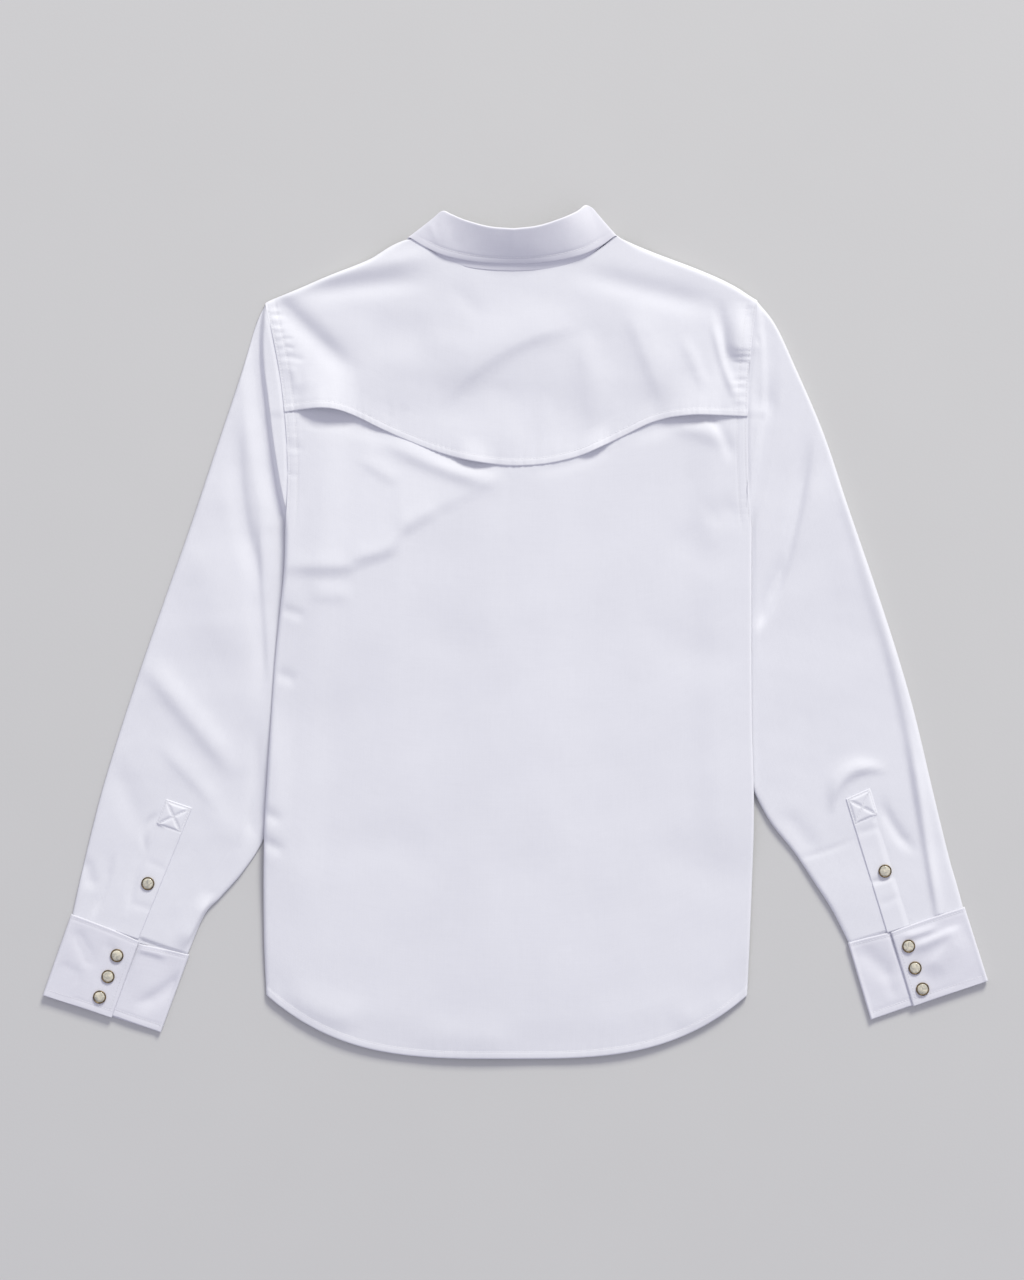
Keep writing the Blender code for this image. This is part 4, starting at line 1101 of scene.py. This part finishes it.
def sleeve_plan(side, places, shares):
    """Plan of a sleeve: rings across it at fractional row numbers, the first one laid along the armhole."""
    rings = []
    for index, (outer_x, outer_y, inner_x, inner_y, bow) in enumerate(SLEEVES[side]):
        y = mix(outer_y, inner_y, shares)
        x = mix(outer_x, inner_x, shares) + bow * 4 * shares * (1 - shares)
        if index == 0:
            seam = armhole_x(y, side) - OUTWARD[side] * 0.8
            x = mix(seam, inner_x, smooth(y, UNDERARM_Y, inner_y))
        rings.append(np.concatenate((x, y)))
    plan = rows_along(rings, places)
    return plan[:, :len(shares)], plan[:, len(shares):]


def make_sleeve(side, wall):
    """A flattened tube: its top is the sleeve's height field and its underside is flat, joined by quarter
    circles along both edges; its last rings slip into the cuff."""
    *near, last = np.array((0, 0.35, 0.9, 1.7, 2.8, 4.2, 6)) / SLEEVE_WIDTH
    top = np.array(near)
    shares = np.concatenate((top, np.linspace(last, 1 - last, 66), 1 - top[::-1]))
    under = np.concatenate((1 - top[1:], np.linspace(0.93, 0.07, 18), top[:0:-1]))
    count = len(SLEEVES[side]) - 1
    places = np.concatenate((np.linspace(0, 1, 12, endpoint=False), np.linspace(1, 3, 44, endpoint=False),
                             np.linspace(3, count - 0.5, 156, endpoint=False),
                             np.linspace(count - 0.5, count, 15)))
    every = np.concatenate((shares, under))
    on_top = np.arange(len(every)) < len(shares)
    x, y = sleeve_plan(side, places, every)
    inner = len(shares) - 1
    distance = np.minimum(np.hypot(x - x[:, :1], y - y[:, :1]),
                          np.hypot(x - x[:, inner:inner + 1], y - y[:, inner:inner + 1]))
    to_end = np.hypot(x - x[-1:], y - y[-1:])
    in_cuff = smooth(to_end, CUFF_COVERED + 1, CUFF_COVERED - 0.7)
    under_band = smooth(every, CUFF_COVERS[side] - 0.02, CUFF_COVERS[side] + 0.02)
    height = sleeve_height(x, y, side)
    height = mix(height, np.minimum(height, mix(CUFF_OVER_TOP, CUFF_UNDER_TOP, under_band) - 1.4), in_cuff)
    middle = np.minimum(SLEEVE_MIDDLE, 0.5 * height)
    roll = edge_roll(distance, SLEEVE_ROLL)
    upper = middle + (height - middle) * roll
    lower = middle * (1 - roll) + 1.5 * in_cuff + 0.8 * smooth(places, 1.5, 0.5)[:, None]
    z = np.where(on_top, upper, np.minimum(lower, upper - 0.2))
    name = SIDE_NAMES[side]
    return cloth(f"cloth_sleeve_{name}", x, y, z, wall, shirting(), "cotton", f"sleeve_{name}", closed=True)


def cuff_course(cover):
    """Course of the band across the cuff, as (share from the outer edge, height): over end, round the outer
    fold, along the floor, round the inner fold and back to the hidden under end."""
    top, under, low = CUFF_OVER_TOP, CUFF_UNDER_TOP, 0.15
    start = cover - CUFF_UNDERLAP
    turns = np.linspace(0.5 * math.pi, 1.5 * math.pi, 9)
    outer = [(0.022 + 0.022 * math.cos(a), 0.5 * (top + low) + 0.5 * (top - low) * math.sin(a))
             for a in turns]
    inner = [(0.984 - 0.016 * math.cos(a), 0.5 * (under + low) - 0.5 * (under - low) * math.sin(a))
             for a in turns]
    over = [(share, top) for share in np.linspace(cover, 0.03, 44)]
    floor_run = [(share, low) for share in np.linspace(0.06, 0.95, 20)]
    under_run = [(share, under) for share in np.linspace(0.975, start, 40)]
    return np.array(over + outer + floor_run + inner + under_run), len(over), len(under_run)


def make_cuff(side, band_wall):
    """A band wrapped round the wrist end. Its course is carried in a straight line from the top seam to the
    bottom edge; both ends sag by a power of their reach, and creases and lumps bend the upper faces."""
    top_outer, bottom_outer, bottom_inner, top_inner = np.array(CUFFS[side])
    cover = CUFF_COVERS[side]
    course, over_count, under_count = cuff_course(cover)
    share, level = course[:, 0], course[:, 1]
    length = math.dist(top_outer, bottom_outer)
    down = places_between(0, length, 2, (0, 0.5, 1.2, 2.2, 3.4, 5), (0, 0.5, 1.2, 2.4, 4, 5.6, 6.6))
    t = (down / length)[:, None, None]
    plan = mix(mix(top_outer, bottom_outer, t), mix(top_inner, bottom_inner, t), share[:, None])
    run = (bottom_outer - top_outer) / length
    index = np.arange(len(course))
    is_over = index < over_count
    is_under = index >= len(course) - under_count
    (over_top, over_bottom), (under_top, under_bottom) = CUFF_SAGS[side]
    over_reach = np.clip(share / cover, 0, 1) ** 2
    under_reach = np.clip((1 - share) / (1 - cover), 0, 1.3) ** 1.2
    sag = np.where(is_over, mix(over_top, over_bottom, t[..., 0]) * over_reach,
                   np.where(is_under, mix(under_top, under_bottom, t[..., 0]) * under_reach, 0))
    plan = plan + run * sag[..., None]
    x, y = plan[..., 0], plan[..., 1]
    upper = smooth(level, 2, 3.4)
    fold = smooth(share, 0, 0.05) * smooth(share, 1, 0.96)
    bend = creases(x, y, CUFF_CREASES[side]) + 0.30 * lumps(x, y, wavelength=46, seed=51 + side)
    end = np.where(is_over, smooth(share, cover, cover - 0.02), 1)
    edge = -edge_drop(np.minimum(down, length - down), depth=0.35, radius=0.9)[:, None]
    rows = -CUFF_GROOVE * (groove(down - CUFF_TOP_ROW) + groove(length - down - CUFF_BOTTOM_ROW))[:, None]
    z = level + upper * fold * (np.clip(bend, -2, 2.5) + rows - 0.8 * t[..., 0])
    z = z + upper * (edge - 0.4 * (1 - end))
    hidden = np.where(is_under, smooth(share, cover + 0.04, cover - 0.01), 0)
    z = mix(z, CUFF_HIDDEN_TOP, hidden)
    z = np.where(is_over, np.maximum(z, CUFF_HIDDEN_TOP + 1.3), z)
    name = SIDE_NAMES[side]
    return cloth(f"cloth_cuff_{name}", x, y, z, band_wall, banding(), "interlined_cotton", f"cuff_{name}",
                 flip=side == RIGHT)


def placket_frame(side):
    """Corners of a sleeve placket: both upper ones and both lower ones, cut off at the cuff's seam."""
    first, second, run = (np.array(value) for value in PLACKETS[side])
    start, end = np.array(CUFFS[side][0]), np.array(CUFFS[side][3])
    line = end - start
    normal = np.array((-line[1], line[0])) / math.hypot(*line)
    lower = [corner + run * (abs(np.dot(start - corner, normal)) + 2) / abs(np.dot(run, normal))
             for corner in (first, second)]
    return first, second, lower[0], lower[1]


def make_sleeve_placket(side, band_wall):
    """A strip on the sleeve's height field, its open edge crisp and its sewn edge sunk into the sleeve. The
    tacked box at its upper end is puffed between the grooves of its outline and its cross."""
    first, second, first_low, second_low = placket_frame(side)
    width, length = math.dist(first, second), math.dist(first, first_low)
    across = np.linspace(0, width, 47)
    down = np.concatenate((np.linspace(0, PLACKET_BOX + 2, 50, endpoint=False),
                           np.linspace(PLACKET_BOX + 2, length, 70)))
    s, t = np.meshgrid(across / width, down / length)
    plan = mix(mix(first, second, s[..., None]), mix(first_low, second_low, s[..., None]), t[..., None])
    x, y = plan[..., 0], plan[..., 1]
    crisp = s * width if side == RIGHT else (1 - s) * width
    sewn = width - crisp
    box = smooth(t * length, PLACKET_BOX + 2, PLACKET_BOX - 1)
    z = sleeve_height(x, y, side) + PLACKET_OVER + creases(x, y, PLACKET_CREASES[side]) * smooth(sewn, 0, 9)
    z = z - (PLACKET_OVER + 0.3) * (1 - smooth(sewn, 0, mix(SEWN_REACH[side], 1.5, box)))
    z = z - edge_drop(np.minimum(crisp, t * length), depth=0.4, radius=0.9)
    u, v = s * width - BOX_INSET, t * length - BOX_INSET
    box_width, box_length = width - 2 * BOX_INSET, PLACKET_BOX - BOX_INSET
    slant = math.hypot(box_width, box_length)
    inside = np.minimum(np.minimum(u, box_width - u), np.minimum(v, box_length - v))
    cross = np.minimum(abs(u * box_length - v * box_width),
                       abs((box_width - u) * box_length - v * box_width)) / slant
    puff = 1 - groove(np.minimum(cross, np.clip(inside, 0, None)), 1.6)
    z = z + 0.75 * puff * smooth(inside, 0, 0.8) - 0.25 * groove(inside, 0.8)
    name = SIDE_NAMES[side]
    return cloth(f"cloth_placket_{name}", x, y, z, band_wall * PLACKET_WALL, shirting(), "interlined_cotton",
                 f"sleeve_placket_{name}")


def collar_stations(count):
    """Both halves of the collar in one run, from the left centre front over the back to the right one."""
    left = rows_along(COLLAR, np.linspace(0, len(COLLAR) - 1, count))
    right = left[1:].copy()
    for column in (1, 4, 7):
        right[:, column] = 2 * COLLAR_MIDDLE_X - right[:, column]
    station = np.linspace(0, len(COLLAR) - 1, count)[1:]
    for column in range(1, 7):
        right[:, column] += curve_at(station, COLLAR_RIGHT_SHIFTS, column)
    right[:, 0] *= -1
    stations = np.vstack((left[::-1], right))
    stations[:, 6] = np.maximum(stations[:, 6], 0)
    angle = np.radians(stations[:, 0])
    outward = np.stack((-np.sin(angle), np.zeros_like(angle), np.cos(angle)), axis=-1)
    return stations[:, 1:4], stations[:, 4:7], stations[:, 7:10], outward


def make_collar(band_wall):
    """The leaf runs straight from its lower edge to the fold, turns over a half circle and goes a little way
    down inside; the stand rises from the neck seam to just inside the fold."""
    fold, edge, seam, outward = collar_stations(COLLAR_STATIONS)
    rise = fold - edge
    length = np.linalg.norm(rise, axis=1, keepdims=True)
    along = rise / length
    normal = outward - (outward * along).sum(axis=1, keepdims=True) * along
    normal /= np.linalg.norm(normal, axis=1, keepdims=True)
    on_back = np.clip(outward[:, 2:3], 0, 1)
    run = np.linspace(-1, 1, len(fold))[:, None]
    rows = []
    for distance in (0, 0.5, 1.1, 2, 3.2, 4.6, 5.6, 6.4, 7.4, 9, *np.linspace(11, 35, 14)):
        share = distance / LEAF_WIDTH
        bulge = COLLAR_BULGE * math.sin(math.pi * share) * on_back
        stitched = -0.3 * groove(distance - LEAF_ROW, 1) - edge_drop(distance, depth=0.4, radius=1.3)
        wave = 0.25 * np.sin(run * 19 + 2 * share) * math.sin(math.pi * share) * on_back
        rows.append(edge + along * (length - FOLD_RADIUS) * share * LEAF_WIDTH / LEAF_RUN
                    + normal * (bulge + stitched * on_back + wave))
    for angle in np.linspace(0, math.pi, 9):
        rows.append(fold - along * FOLD_RADIUS - normal * FOLD_RADIUS
                    + FOLD_RADIUS * (math.cos(angle) * normal + math.sin(angle) * along))
    for distance in (1.5, 3.5, 6):
        rows.append(fold - along * (FOLD_RADIUS + distance) - normal * 2 * FOLD_RADIUS)
    points = np.array(rows)
    points[..., 2] += creases(points[..., 0], points[..., 1], LEAF_CREASES) * on_back[:, 0]
    points[..., 2] = np.maximum(points[..., 2], 0)
    leaf = stand_for(grid_piece("cloth_collar_leaf", points, band_wall, banding(), flip=False),
                     "interlined_cotton", "collar_leaf")
    top = fold - normal * (2 * FOLD_RADIUS + band_wall / MM + 0.3) - along * 5
    behind = edge - normal * (band_wall / MM + 0.5) + along * 1.5
    middle = mix(mix(seam, top, 0.4), behind, smooth(outward[:, 2:3], 0.3, 0.8))
    lap = np.concatenate((np.zeros(len(fold) - 9), np.linspace(0, 1, 10), (1,)))
    rows = []
    for step in np.linspace(0, 2, 17):
        row = mix(seam, middle, step) if step < 1 else mix(middle, top, step - 1)
        row = np.vstack((row[0] + (STAND_OVERLAP, 0, 0), row, row[-1] - (STAND_OVERLAP, 0, 0)))
        row[:, 2] += (BAND_WALL + PLY_GAP) * lap
        rows.append(row)
    points = np.array(rows)
    points[..., 2] = np.maximum(points[..., 2], band_wall / MM)
    stand = stand_for(grid_piece("cloth_collar_stand", points, band_wall, banding(), flip=False),
                      "interlined_cotton", "collar_stand")
    return leaf, stand


# --- Stitches

DROP_FROM = 0.08  # metres, above every piece
STITCH_WIDTH, STITCH_HEIGHT = 0.27, 0.24  # from the middle of a thread to its side and to its top
STITCH_LIFT = 0.05


def surface_of(*names):
    """Search trees of finished pieces, walls included."""
    graph = bpy.context.evaluated_depsgraph_get()
    return [BVHTree.FromObject(bpy.data.objects[name], graph) for name in names]


def drop(trees, x, y):
    """Highest point, in metres, and its normal straight below a place in the plan, given in millimetres."""
    best = None
    for tree in trees:
        place, normal, _, _ = tree.ray_cast(Vector((x * MM, y * MM, DROP_FROM)), Vector((0, 0, -1)))
        if place is not None and (best is None or place.z > best[0].z):
            best = (place, normal)
    return best


def grain():
    """One stitch of unit length along X: two rings of four points between two tips, 16 triangles."""
    ring = np.array(((0, 1, 0), (0, 0, 1), (0, -1, 0), (0, 0, -1)))
    points = np.vstack(((-0.5, 0, 0), ring * 0.9 + (-0.28, 0, 0), ring * 0.9 + (0.28, 0, 0),
                        (0.5, 0, 0)))
    faces = []
    for step in range(4):
        after = (step + 1) % 4
        faces += [(0, 1 + after, 1 + step), (1 + step, 1 + after, 5 + after), (1 + step, 5 + after, 5 + step),
                  (9, 5 + step, 5 + after)]
    return points, np.array(faces)


def sew(name, lines, trees):
    """Rows of stitches along plan lines, each dropped onto the cloth below it and laid along the row."""
    sizes = bpy.context.scene.shirt_sizes
    pitch, length = sizes.stitch_pitch / MM, sizes.stitch_length / MM
    centres, runs, normals = [], [], []
    for line in lines:
        run = travelled(line, 0)
        count = max(1, int(run[-1] / pitch))
        for offset in (np.arange(count) + 0.5) * run[-1] / count:
            ends = []
            for place in (offset - 0.45 * length, offset + 0.45 * length):
                ends.append(drop(trees, *(np.interp(place, run, column) for column in line.T)))
            if None in ends:
                continue
            start, end = (np.array(found[0]) / MM for found in ends)
            if np.linalg.norm(end - start) > 1.6 * length:
                continue  # it would bridge a step in the cloth
            centres.append(0.5 * (start + end))
            runs.append((end - start) / max(np.linalg.norm(end - start), 0.001))
            normals.append(np.array(ends[0][1]) + np.array(ends[1][1]))
    centres, runs, normals = (np.array(values) for values in (centres, runs, normals))
    across = np.cross(normals, runs)
    across /= np.linalg.norm(across, axis=1, keepdims=True)
    up = np.cross(runs, across)
    unit, faces = grain()
    size = unit * (length, STITCH_WIDTH, STITCH_HEIGHT)
    points = (centres[:, None] + up[:, None] * STITCH_LIFT + size[None, :, :1] * runs[:, None]
              + size[None, :, 1:2] * across[:, None] + size[None, :, 2:3] * up[:, None])
    faces = (faces[None] + (np.arange(len(centres)) * len(unit))[:, None, None]).reshape(-1, 3)
    mesh = bpy.data.meshes.new(name)
    mesh.from_pydata((points.reshape(-1, 3) * MM).tolist(), [], faces.tolist())
    piece = finish_piece(name, mesh, thread_material())
    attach(piece, "root")
    return piece


def beside(line, distance):
    """A line moved sideways in the plan, to the left of its run for a positive distance."""
    line = np.asarray(line, float)
    run = np.gradient(line, axis=0)
    run /= np.linalg.norm(run, axis=1, keepdims=True)
    return line + distance * np.stack((-run[:, 1], run[:, 0]), axis=-1)


def straight(start, end, count=24):
    """Points at an even pitch from start to end."""
    return np.linspace(start, end, count)


def edge_and_armhole_lines(first_x, last_x, edge_y, low_y, high_y):
    """The row along a turned edge and both rows beside each armhole seam, between heights given per side."""
    x = np.linspace(first_x, last_x, 240)
    lines = [beside(np.stack((x, edge_y(x)), axis=-1), HEM_WIDTH)]
    for side in (LEFT, RIGHT):
        for row in TOPSTITCHES:
            y = np.linspace(low_y, high_y[side], 60)
            lines.append(np.stack((armhole_x(y, side) - OUTWARD[side] * row, y), axis=-1))
    return lines


def body_lines():
    """Rows on the back: along the hem and, below the yoke, beside the armhole seams."""
    return edge_and_armhole_lines(-230, 213, hem_y, 108, (199, 199))


def yoke_lines():
    """Rows on the yoke: along its lower edge, beside the armhole seams, and short bars at its tacks."""
    lines = edge_and_armhole_lines(-214, 215, yoke_y, 212, [shoulder_y - 6 for _, shoulder_y in SHOULDER])
    for place in YOKE_TACKS:
        edge = float(yoke_y(np.array(place)))
        lines.append(straight((place, edge + 1), (place, edge + HEM_WIDTH), 4))
    return lines


def sleeve_lines(side):
    """Rows of one sleeve: placket edges, its tacked box with a cross, and the edges of the cuff."""
    first, second, first_low, second_low = placket_frame(side)
    run = (first_low - first) / math.dist(first_low, first)
    step = (second - first) / math.dist(second, first)
    inset, box = step * BOX_INSET, run * PLACKET_BOX
    corner = [first + inset + run * BOX_INSET, second - inset + run * BOX_INSET,
              second - inset + box, first + inset + box]
    lines = [straight(corner[index], corner[(index + 1) % 4]) for index in range(4)]
    lines += [straight(corner[0], corner[2]), straight(corner[1], corner[3])]
    if side == RIGHT:
        lines.append(straight(corner[2], second_low - inset))
    top_outer, bottom_outer, bottom_inner, top_inner = np.array(CUFFS[side])
    down = (bottom_outer - top_outer) / math.dist(bottom_outer, top_outer)
    cover = CUFF_COVERS[side]
    (over_top, over_bottom), (under_top, under_bottom) = CUFF_SAGS[side]
    over, under = np.linspace(0.012, cover - 0.01, 40), np.linspace(cover + 0.012, 0.99, 30)
    for shares, reach, top_sag, bottom_sag in (
            (over, (over / cover) ** 2, over_top, over_bottom),
            (under, ((1 - under) / (1 - cover)) ** 1.2, under_top, under_bottom)):
        top = mix(top_outer, top_inner, shares[:, None])
        bottom = mix(bottom_outer, bottom_inner, shares[:, None])
        lines.append(top + down * (CUFF_TOP_ROW + top_sag * reach)[:, None])
        lines.append(bottom + down * (-CUFF_BOTTOM_ROW + bottom_sag * reach)[:, None])
    share = cover - 0.035
    lines.append(straight(mix(top_outer, top_inner, share) + down * (over_top + CUFF_TOP_ROW),
                          mix(bottom_outer, bottom_inner, share) - down * CUFF_BOTTOM_ROW))
    return lines


def collar_lines():
    """One row beside the lower edge of the leaf, over the back only."""
    fold, edge, _, outward = collar_stations(COLLAR_STATIONS)
    shown = outward[:, 2] > 0.75
    rise = fold - edge
    place = edge + rise / np.linalg.norm(rise, axis=1, keepdims=True) * LEAF_ROW
    return [place[shown][:, :2]]


# --- Snaps

def turned(profile, places, steps=SNAP_STEPS):
    """Copies of a (radius, height) profile turned about Z, at places given as x, y, z and 1 up or -1 down.
    Points follow the profile round a circle; quads join each point to the next on both."""
    profile = np.array(profile)
    angle = np.arange(steps) * 2 * math.pi / steps
    ring = np.stack((profile[:, 0, None] * np.cos(angle), profile[:, 0, None] * np.sin(angle),
                     np.broadcast_to(profile[:, 1, None], (len(profile), steps))), axis=-1)
    row, column = squares(len(profile), steps)
    faces = (row * steps + column % steps)[:, (0, 3, 2, 1)]
    points, every = [], []
    for index, (x, y, z, way) in enumerate(places):
        copy = ring.reshape(-1, 3) * (1, way, way) + (x, y, z)
        points.append(copy)
        every.append(faces + index * len(copy))
    return np.vstack(points), np.vstack(every)


def merged_mesh(name, points, faces):
    """A mesh with doubled points joined, so that poles and closed profiles have no seam."""
    mesh = bpy.data.meshes.new(name)
    mesh.from_pydata((points * MM).tolist(), [], faces.tolist())
    work = bmesh.new()
    work.from_mesh(mesh)
    bmesh.ops.remove_doubles(work, verts=work.verts, dist=0.002 * MM)
    bmesh.ops.recalc_face_normals(work, faces=work.faces)
    work.to_mesh(mesh)
    work.free()
    return mesh


def snap_places():
    """Every snap's centre from its packed rim, its seat on the cloth below it, and which way it faces."""
    trees = surface_of("cloth_cuff_left", "cloth_cuff_right", "cloth_placket_left", "cloth_placket_right")
    names, places = [], []
    for node in sorted(frame["nodes"]):
        if not (node.startswith("snap_") and node.endswith("_rim")):
            continue
        low, high = (np.array(corner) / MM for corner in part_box(node))
        x, y = 0.5 * (low[:2] + high[:2])
        if node.startswith(("snap_front", "snap_collar")):
            places.append((x, y, high[2], -1))
        else:
            places.append((x, y, drop(trees, x, y)[0].z / MM - SNAP_SEAT, 1))
        names.append(node[:-len("_rim")])
    return names, places


def make_snaps():
    """A rolled metal rim and a domed pearl for every snap, as one piece of each."""
    names, places = snap_places()
    outer, inner = SNAP_RADIUS, SNAP_RADIUS - SNAP_RIM_WIDTH
    middle, half = 0.5 * (outer + inner), 0.5 * (outer - inner)
    roll = [(middle + half * math.cos(angle), 1.1 + 0.62 * math.sin(angle))
            for angle in np.linspace(math.pi, -0.15 * math.pi, 9)]
    rim = [(inner, 0.1), (inner, 1.25), *roll, (outer - 0.1, 0.35), (outer - 0.45, 0), (inner, 0.1)]
    vault = [((inner + 0.05) * math.sin(angle), 1.05 + 1.2 * math.cos(angle))
             for angle in np.linspace(0.12, 0.5 * math.pi, 8)]
    dome = [(0, 2.25), *vault, (inner - 0.1, 0.3), (0, 0.3)]
    for part, profile, material in (("rim", rim, rim_material()), ("pearl", dome, pearl_material())):
        mesh = merged_mesh(f"snap_{part}s", *turned(profile, places))
        piece = finish_piece(f"snap_{part}s", mesh, material)
        stand_for(piece, f"snap_{part}", *(f"{name}_{part}" for name in names))


# --- Stage

# metres
FLOOR_HALF, FLOOR_Z = 3, -0.0002
LAMP_PLACE = (3.66, 10.05, 5.45)
CAMERA_PLACE = (-0.0033, -0.0075, 2.846)


def make_stage(sizes):
    """Floor, one large soft lamp that faces the origin, an even fill and the camera straight above."""
    mesh = bpy.data.meshes.new("floor")
    corners = ((-1, -1), (1, -1), (1, 1), (-1, 1))
    mesh.from_pydata([(x * FLOOR_HALF, y * FLOOR_HALF, FLOOR_Z) for x, y in corners], [], [(0, 1, 2, 3)])
    mesh.materials.append(floor_material())
    floor = add_object("floor", mesh)
    data = bpy.data.lights.new("large_soft_lamp", "AREA")
    data.shape = "RECTANGLE"
    data.size, data.size_y = 4.1, 3.1
    data.energy = sizes.lamp
    data.color = (1, 0.99, 0.88)
    lamp = add_object("large_soft_lamp", data)
    lamp.location = LAMP_PLACE
    lamp.rotation_euler = (-Vector(LAMP_PLACE)).to_track_quat("-Z", "Y").to_euler()
    world = bpy.data.worlds.new("even_fill")
    world.use_nodes = True
    back = world.node_tree.nodes["Background"]
    back.inputs["Color"].default_value = (0.88, 0.875, 1, 1)
    back.inputs["Strength"].default_value = sizes.sky
    bpy.context.scene.world = world
    view = bpy.data.cameras.new("above")
    view.lens, view.sensor_width = 85, 36
    view.clip_start, view.clip_end = 0.1, 20
    camera = add_object("above", view)
    camera.location = CAMERA_PLACE
    bpy.context.scene.camera = camera
    bpy.context.scene.view_settings.view_transform = "Standard"


# --- Operators

class SHIRT_OT_fronts(bpy.types.Operator):
    """Lay the two fronts and the front band."""
    bl_idname = "shirt.fronts"
    bl_label = "Fronts and front band"

    def execute(self, context):
        sizes = context.scene.shirt_sizes
        left, right, band = make_fronts(sizes.wall, sizes.band_wall)
        return {"FINISHED"}


class SHIRT_OT_back(bpy.types.Operator):
    """Lay the back over the fronts."""
    bl_idname = "shirt.back"
    bl_label = "Back"

    def execute(self, context):
        back = make_back(context.scene.shirt_sizes.wall)
        return {"FINISHED"}


class SHIRT_OT_yoke(bpy.types.Operator):
    """Lay the wavy yoke over the top of the back."""
    bl_idname = "shirt.yoke"
    bl_label = "Back yoke"

    def execute(self, context):
        yoke = make_yoke(context.scene.shirt_sizes.wall)
        return {"FINISHED"}


class SHIRT_OT_sleeves(bpy.types.Operator):
    """Flatten both sleeves beside the body."""
    bl_idname = "shirt.sleeves"
    bl_label = "Sleeves"

    def execute(self, context):
        for side in (LEFT, RIGHT):
            sleeve = make_sleeve(side, context.scene.shirt_sizes.wall)
        return {"FINISHED"}


class SHIRT_OT_cuffs(bpy.types.Operator):
    """Wrap a cuff round each wrist end."""
    bl_idname = "shirt.cuffs"
    bl_label = "Cuffs"

    def execute(self, context):
        for side in (LEFT, RIGHT):
            cuff = make_cuff(side, context.scene.shirt_sizes.band_wall)
        return {"FINISHED"}


class SHIRT_OT_sleeve_plackets(bpy.types.Operator):
    """Lay a placket on each sleeve above its cuff."""
    bl_idname = "shirt.sleeve_plackets"
    bl_label = "Sleeve plackets"

    def execute(self, context):
        for side in (LEFT, RIGHT):
            placket = make_sleeve_placket(side, context.scene.shirt_sizes.band_wall)
        return {"FINISHED"}


class SHIRT_OT_collar(bpy.types.Operator):
    """Turn the collar leaf over its stand."""
    bl_idname = "shirt.collar"
    bl_label = "Collar"

    def execute(self, context):
        leaf, stand = make_collar(context.scene.shirt_sizes.band_wall)
        return {"FINISHED"}


class SHIRT_OT_stitches(bpy.types.Operator):
    """Sew the rows of topstitching on the finished cloth."""
    bl_idname = "shirt.stitches"
    bl_label = "Topstitching"

    def execute(self, context):
        sew("stitches_back", body_lines(), surface_of("cloth_back"))
        sew("stitches_yoke", yoke_lines(), surface_of("cloth_yoke"))
        for side, name in enumerate(SIDE_NAMES):
            sew(f"stitches_sleeve_{name}", sleeve_lines(side),
                surface_of(f"cloth_placket_{name}", f"cloth_cuff_{name}"))
        sew("stitches_collar", collar_lines(), surface_of("cloth_collar_leaf"))
        return {"FINISHED"}


class SHIRT_OT_snaps(bpy.types.Operator):
    """Set the pearl snaps in their metal rims."""
    bl_idname = "shirt.snaps"
    bl_label = "Snaps"

    def execute(self, context):
        make_snaps()
        return {"FINISHED"}


class SHIRT_OT_stage(bpy.types.Operator):
    """Set up the floor, the light and the camera."""
    bl_idname = "shirt.stage"
    bl_label = "Stage"

    def execute(self, context):
        make_stage(context.scene.shirt_sizes)
        return {"FINISHED"}


STEPS = (SHIRT_OT_fronts, SHIRT_OT_back, SHIRT_OT_yoke, SHIRT_OT_sleeves, SHIRT_OT_cuffs,
         SHIRT_OT_sleeve_plackets, SHIRT_OT_collar, SHIRT_OT_stitches, SHIRT_OT_snaps, SHIRT_OT_stage)


class SHIRT_PT_panel(bpy.types.Panel):
    """Sizes, colours and steps of the shirt."""
    bl_idname = "SHIRT_PT_panel"
    bl_label = "Western dress shirt"
    bl_space_type = "VIEW_3D"
    bl_region_type = "UI"
    bl_category = "Shirt"

    def draw(self, context):
        layout = self.layout
        for group in (context.scene.shirt_sizes, context.scene.shirt_colours):
            column = layout.column(align=True)
            for key in group.__class__.__annotations__:
                column.prop(group, key)
        column = layout.column(align=True)
        for step in STEPS:
            column.operator(step.bl_idname)


CLASSES = (ShirtSizes, ShirtColours, *STEPS, SHIRT_PT_panel)


def register():
    """Make the classes and the scene's settings known."""
    for item in CLASSES:
        bpy.utils.register_class(item)
    bpy.types.Scene.shirt_sizes = PointerProperty(type=ShirtSizes)
    bpy.types.Scene.shirt_colours = PointerProperty(type=ShirtColours)


def unregister():
    """Take them away again."""
    del bpy.types.Scene.shirt_colours
    del bpy.types.Scene.shirt_sizes
    for item in reversed(CLASSES):
        bpy.utils.unregister_class(item)


def main():
    """Build every piece and the stage in order."""
    register()
    bpy.ops.shirt.fronts()
    bpy.ops.shirt.back()
    bpy.ops.shirt.yoke()
    bpy.ops.shirt.sleeves()
    bpy.ops.shirt.cuffs()
    bpy.ops.shirt.sleeve_plackets()
    bpy.ops.shirt.collar()
    bpy.ops.shirt.stitches()
    bpy.ops.shirt.snaps()
    bpy.ops.shirt.stage()


if __name__ == "__main__":
    main()
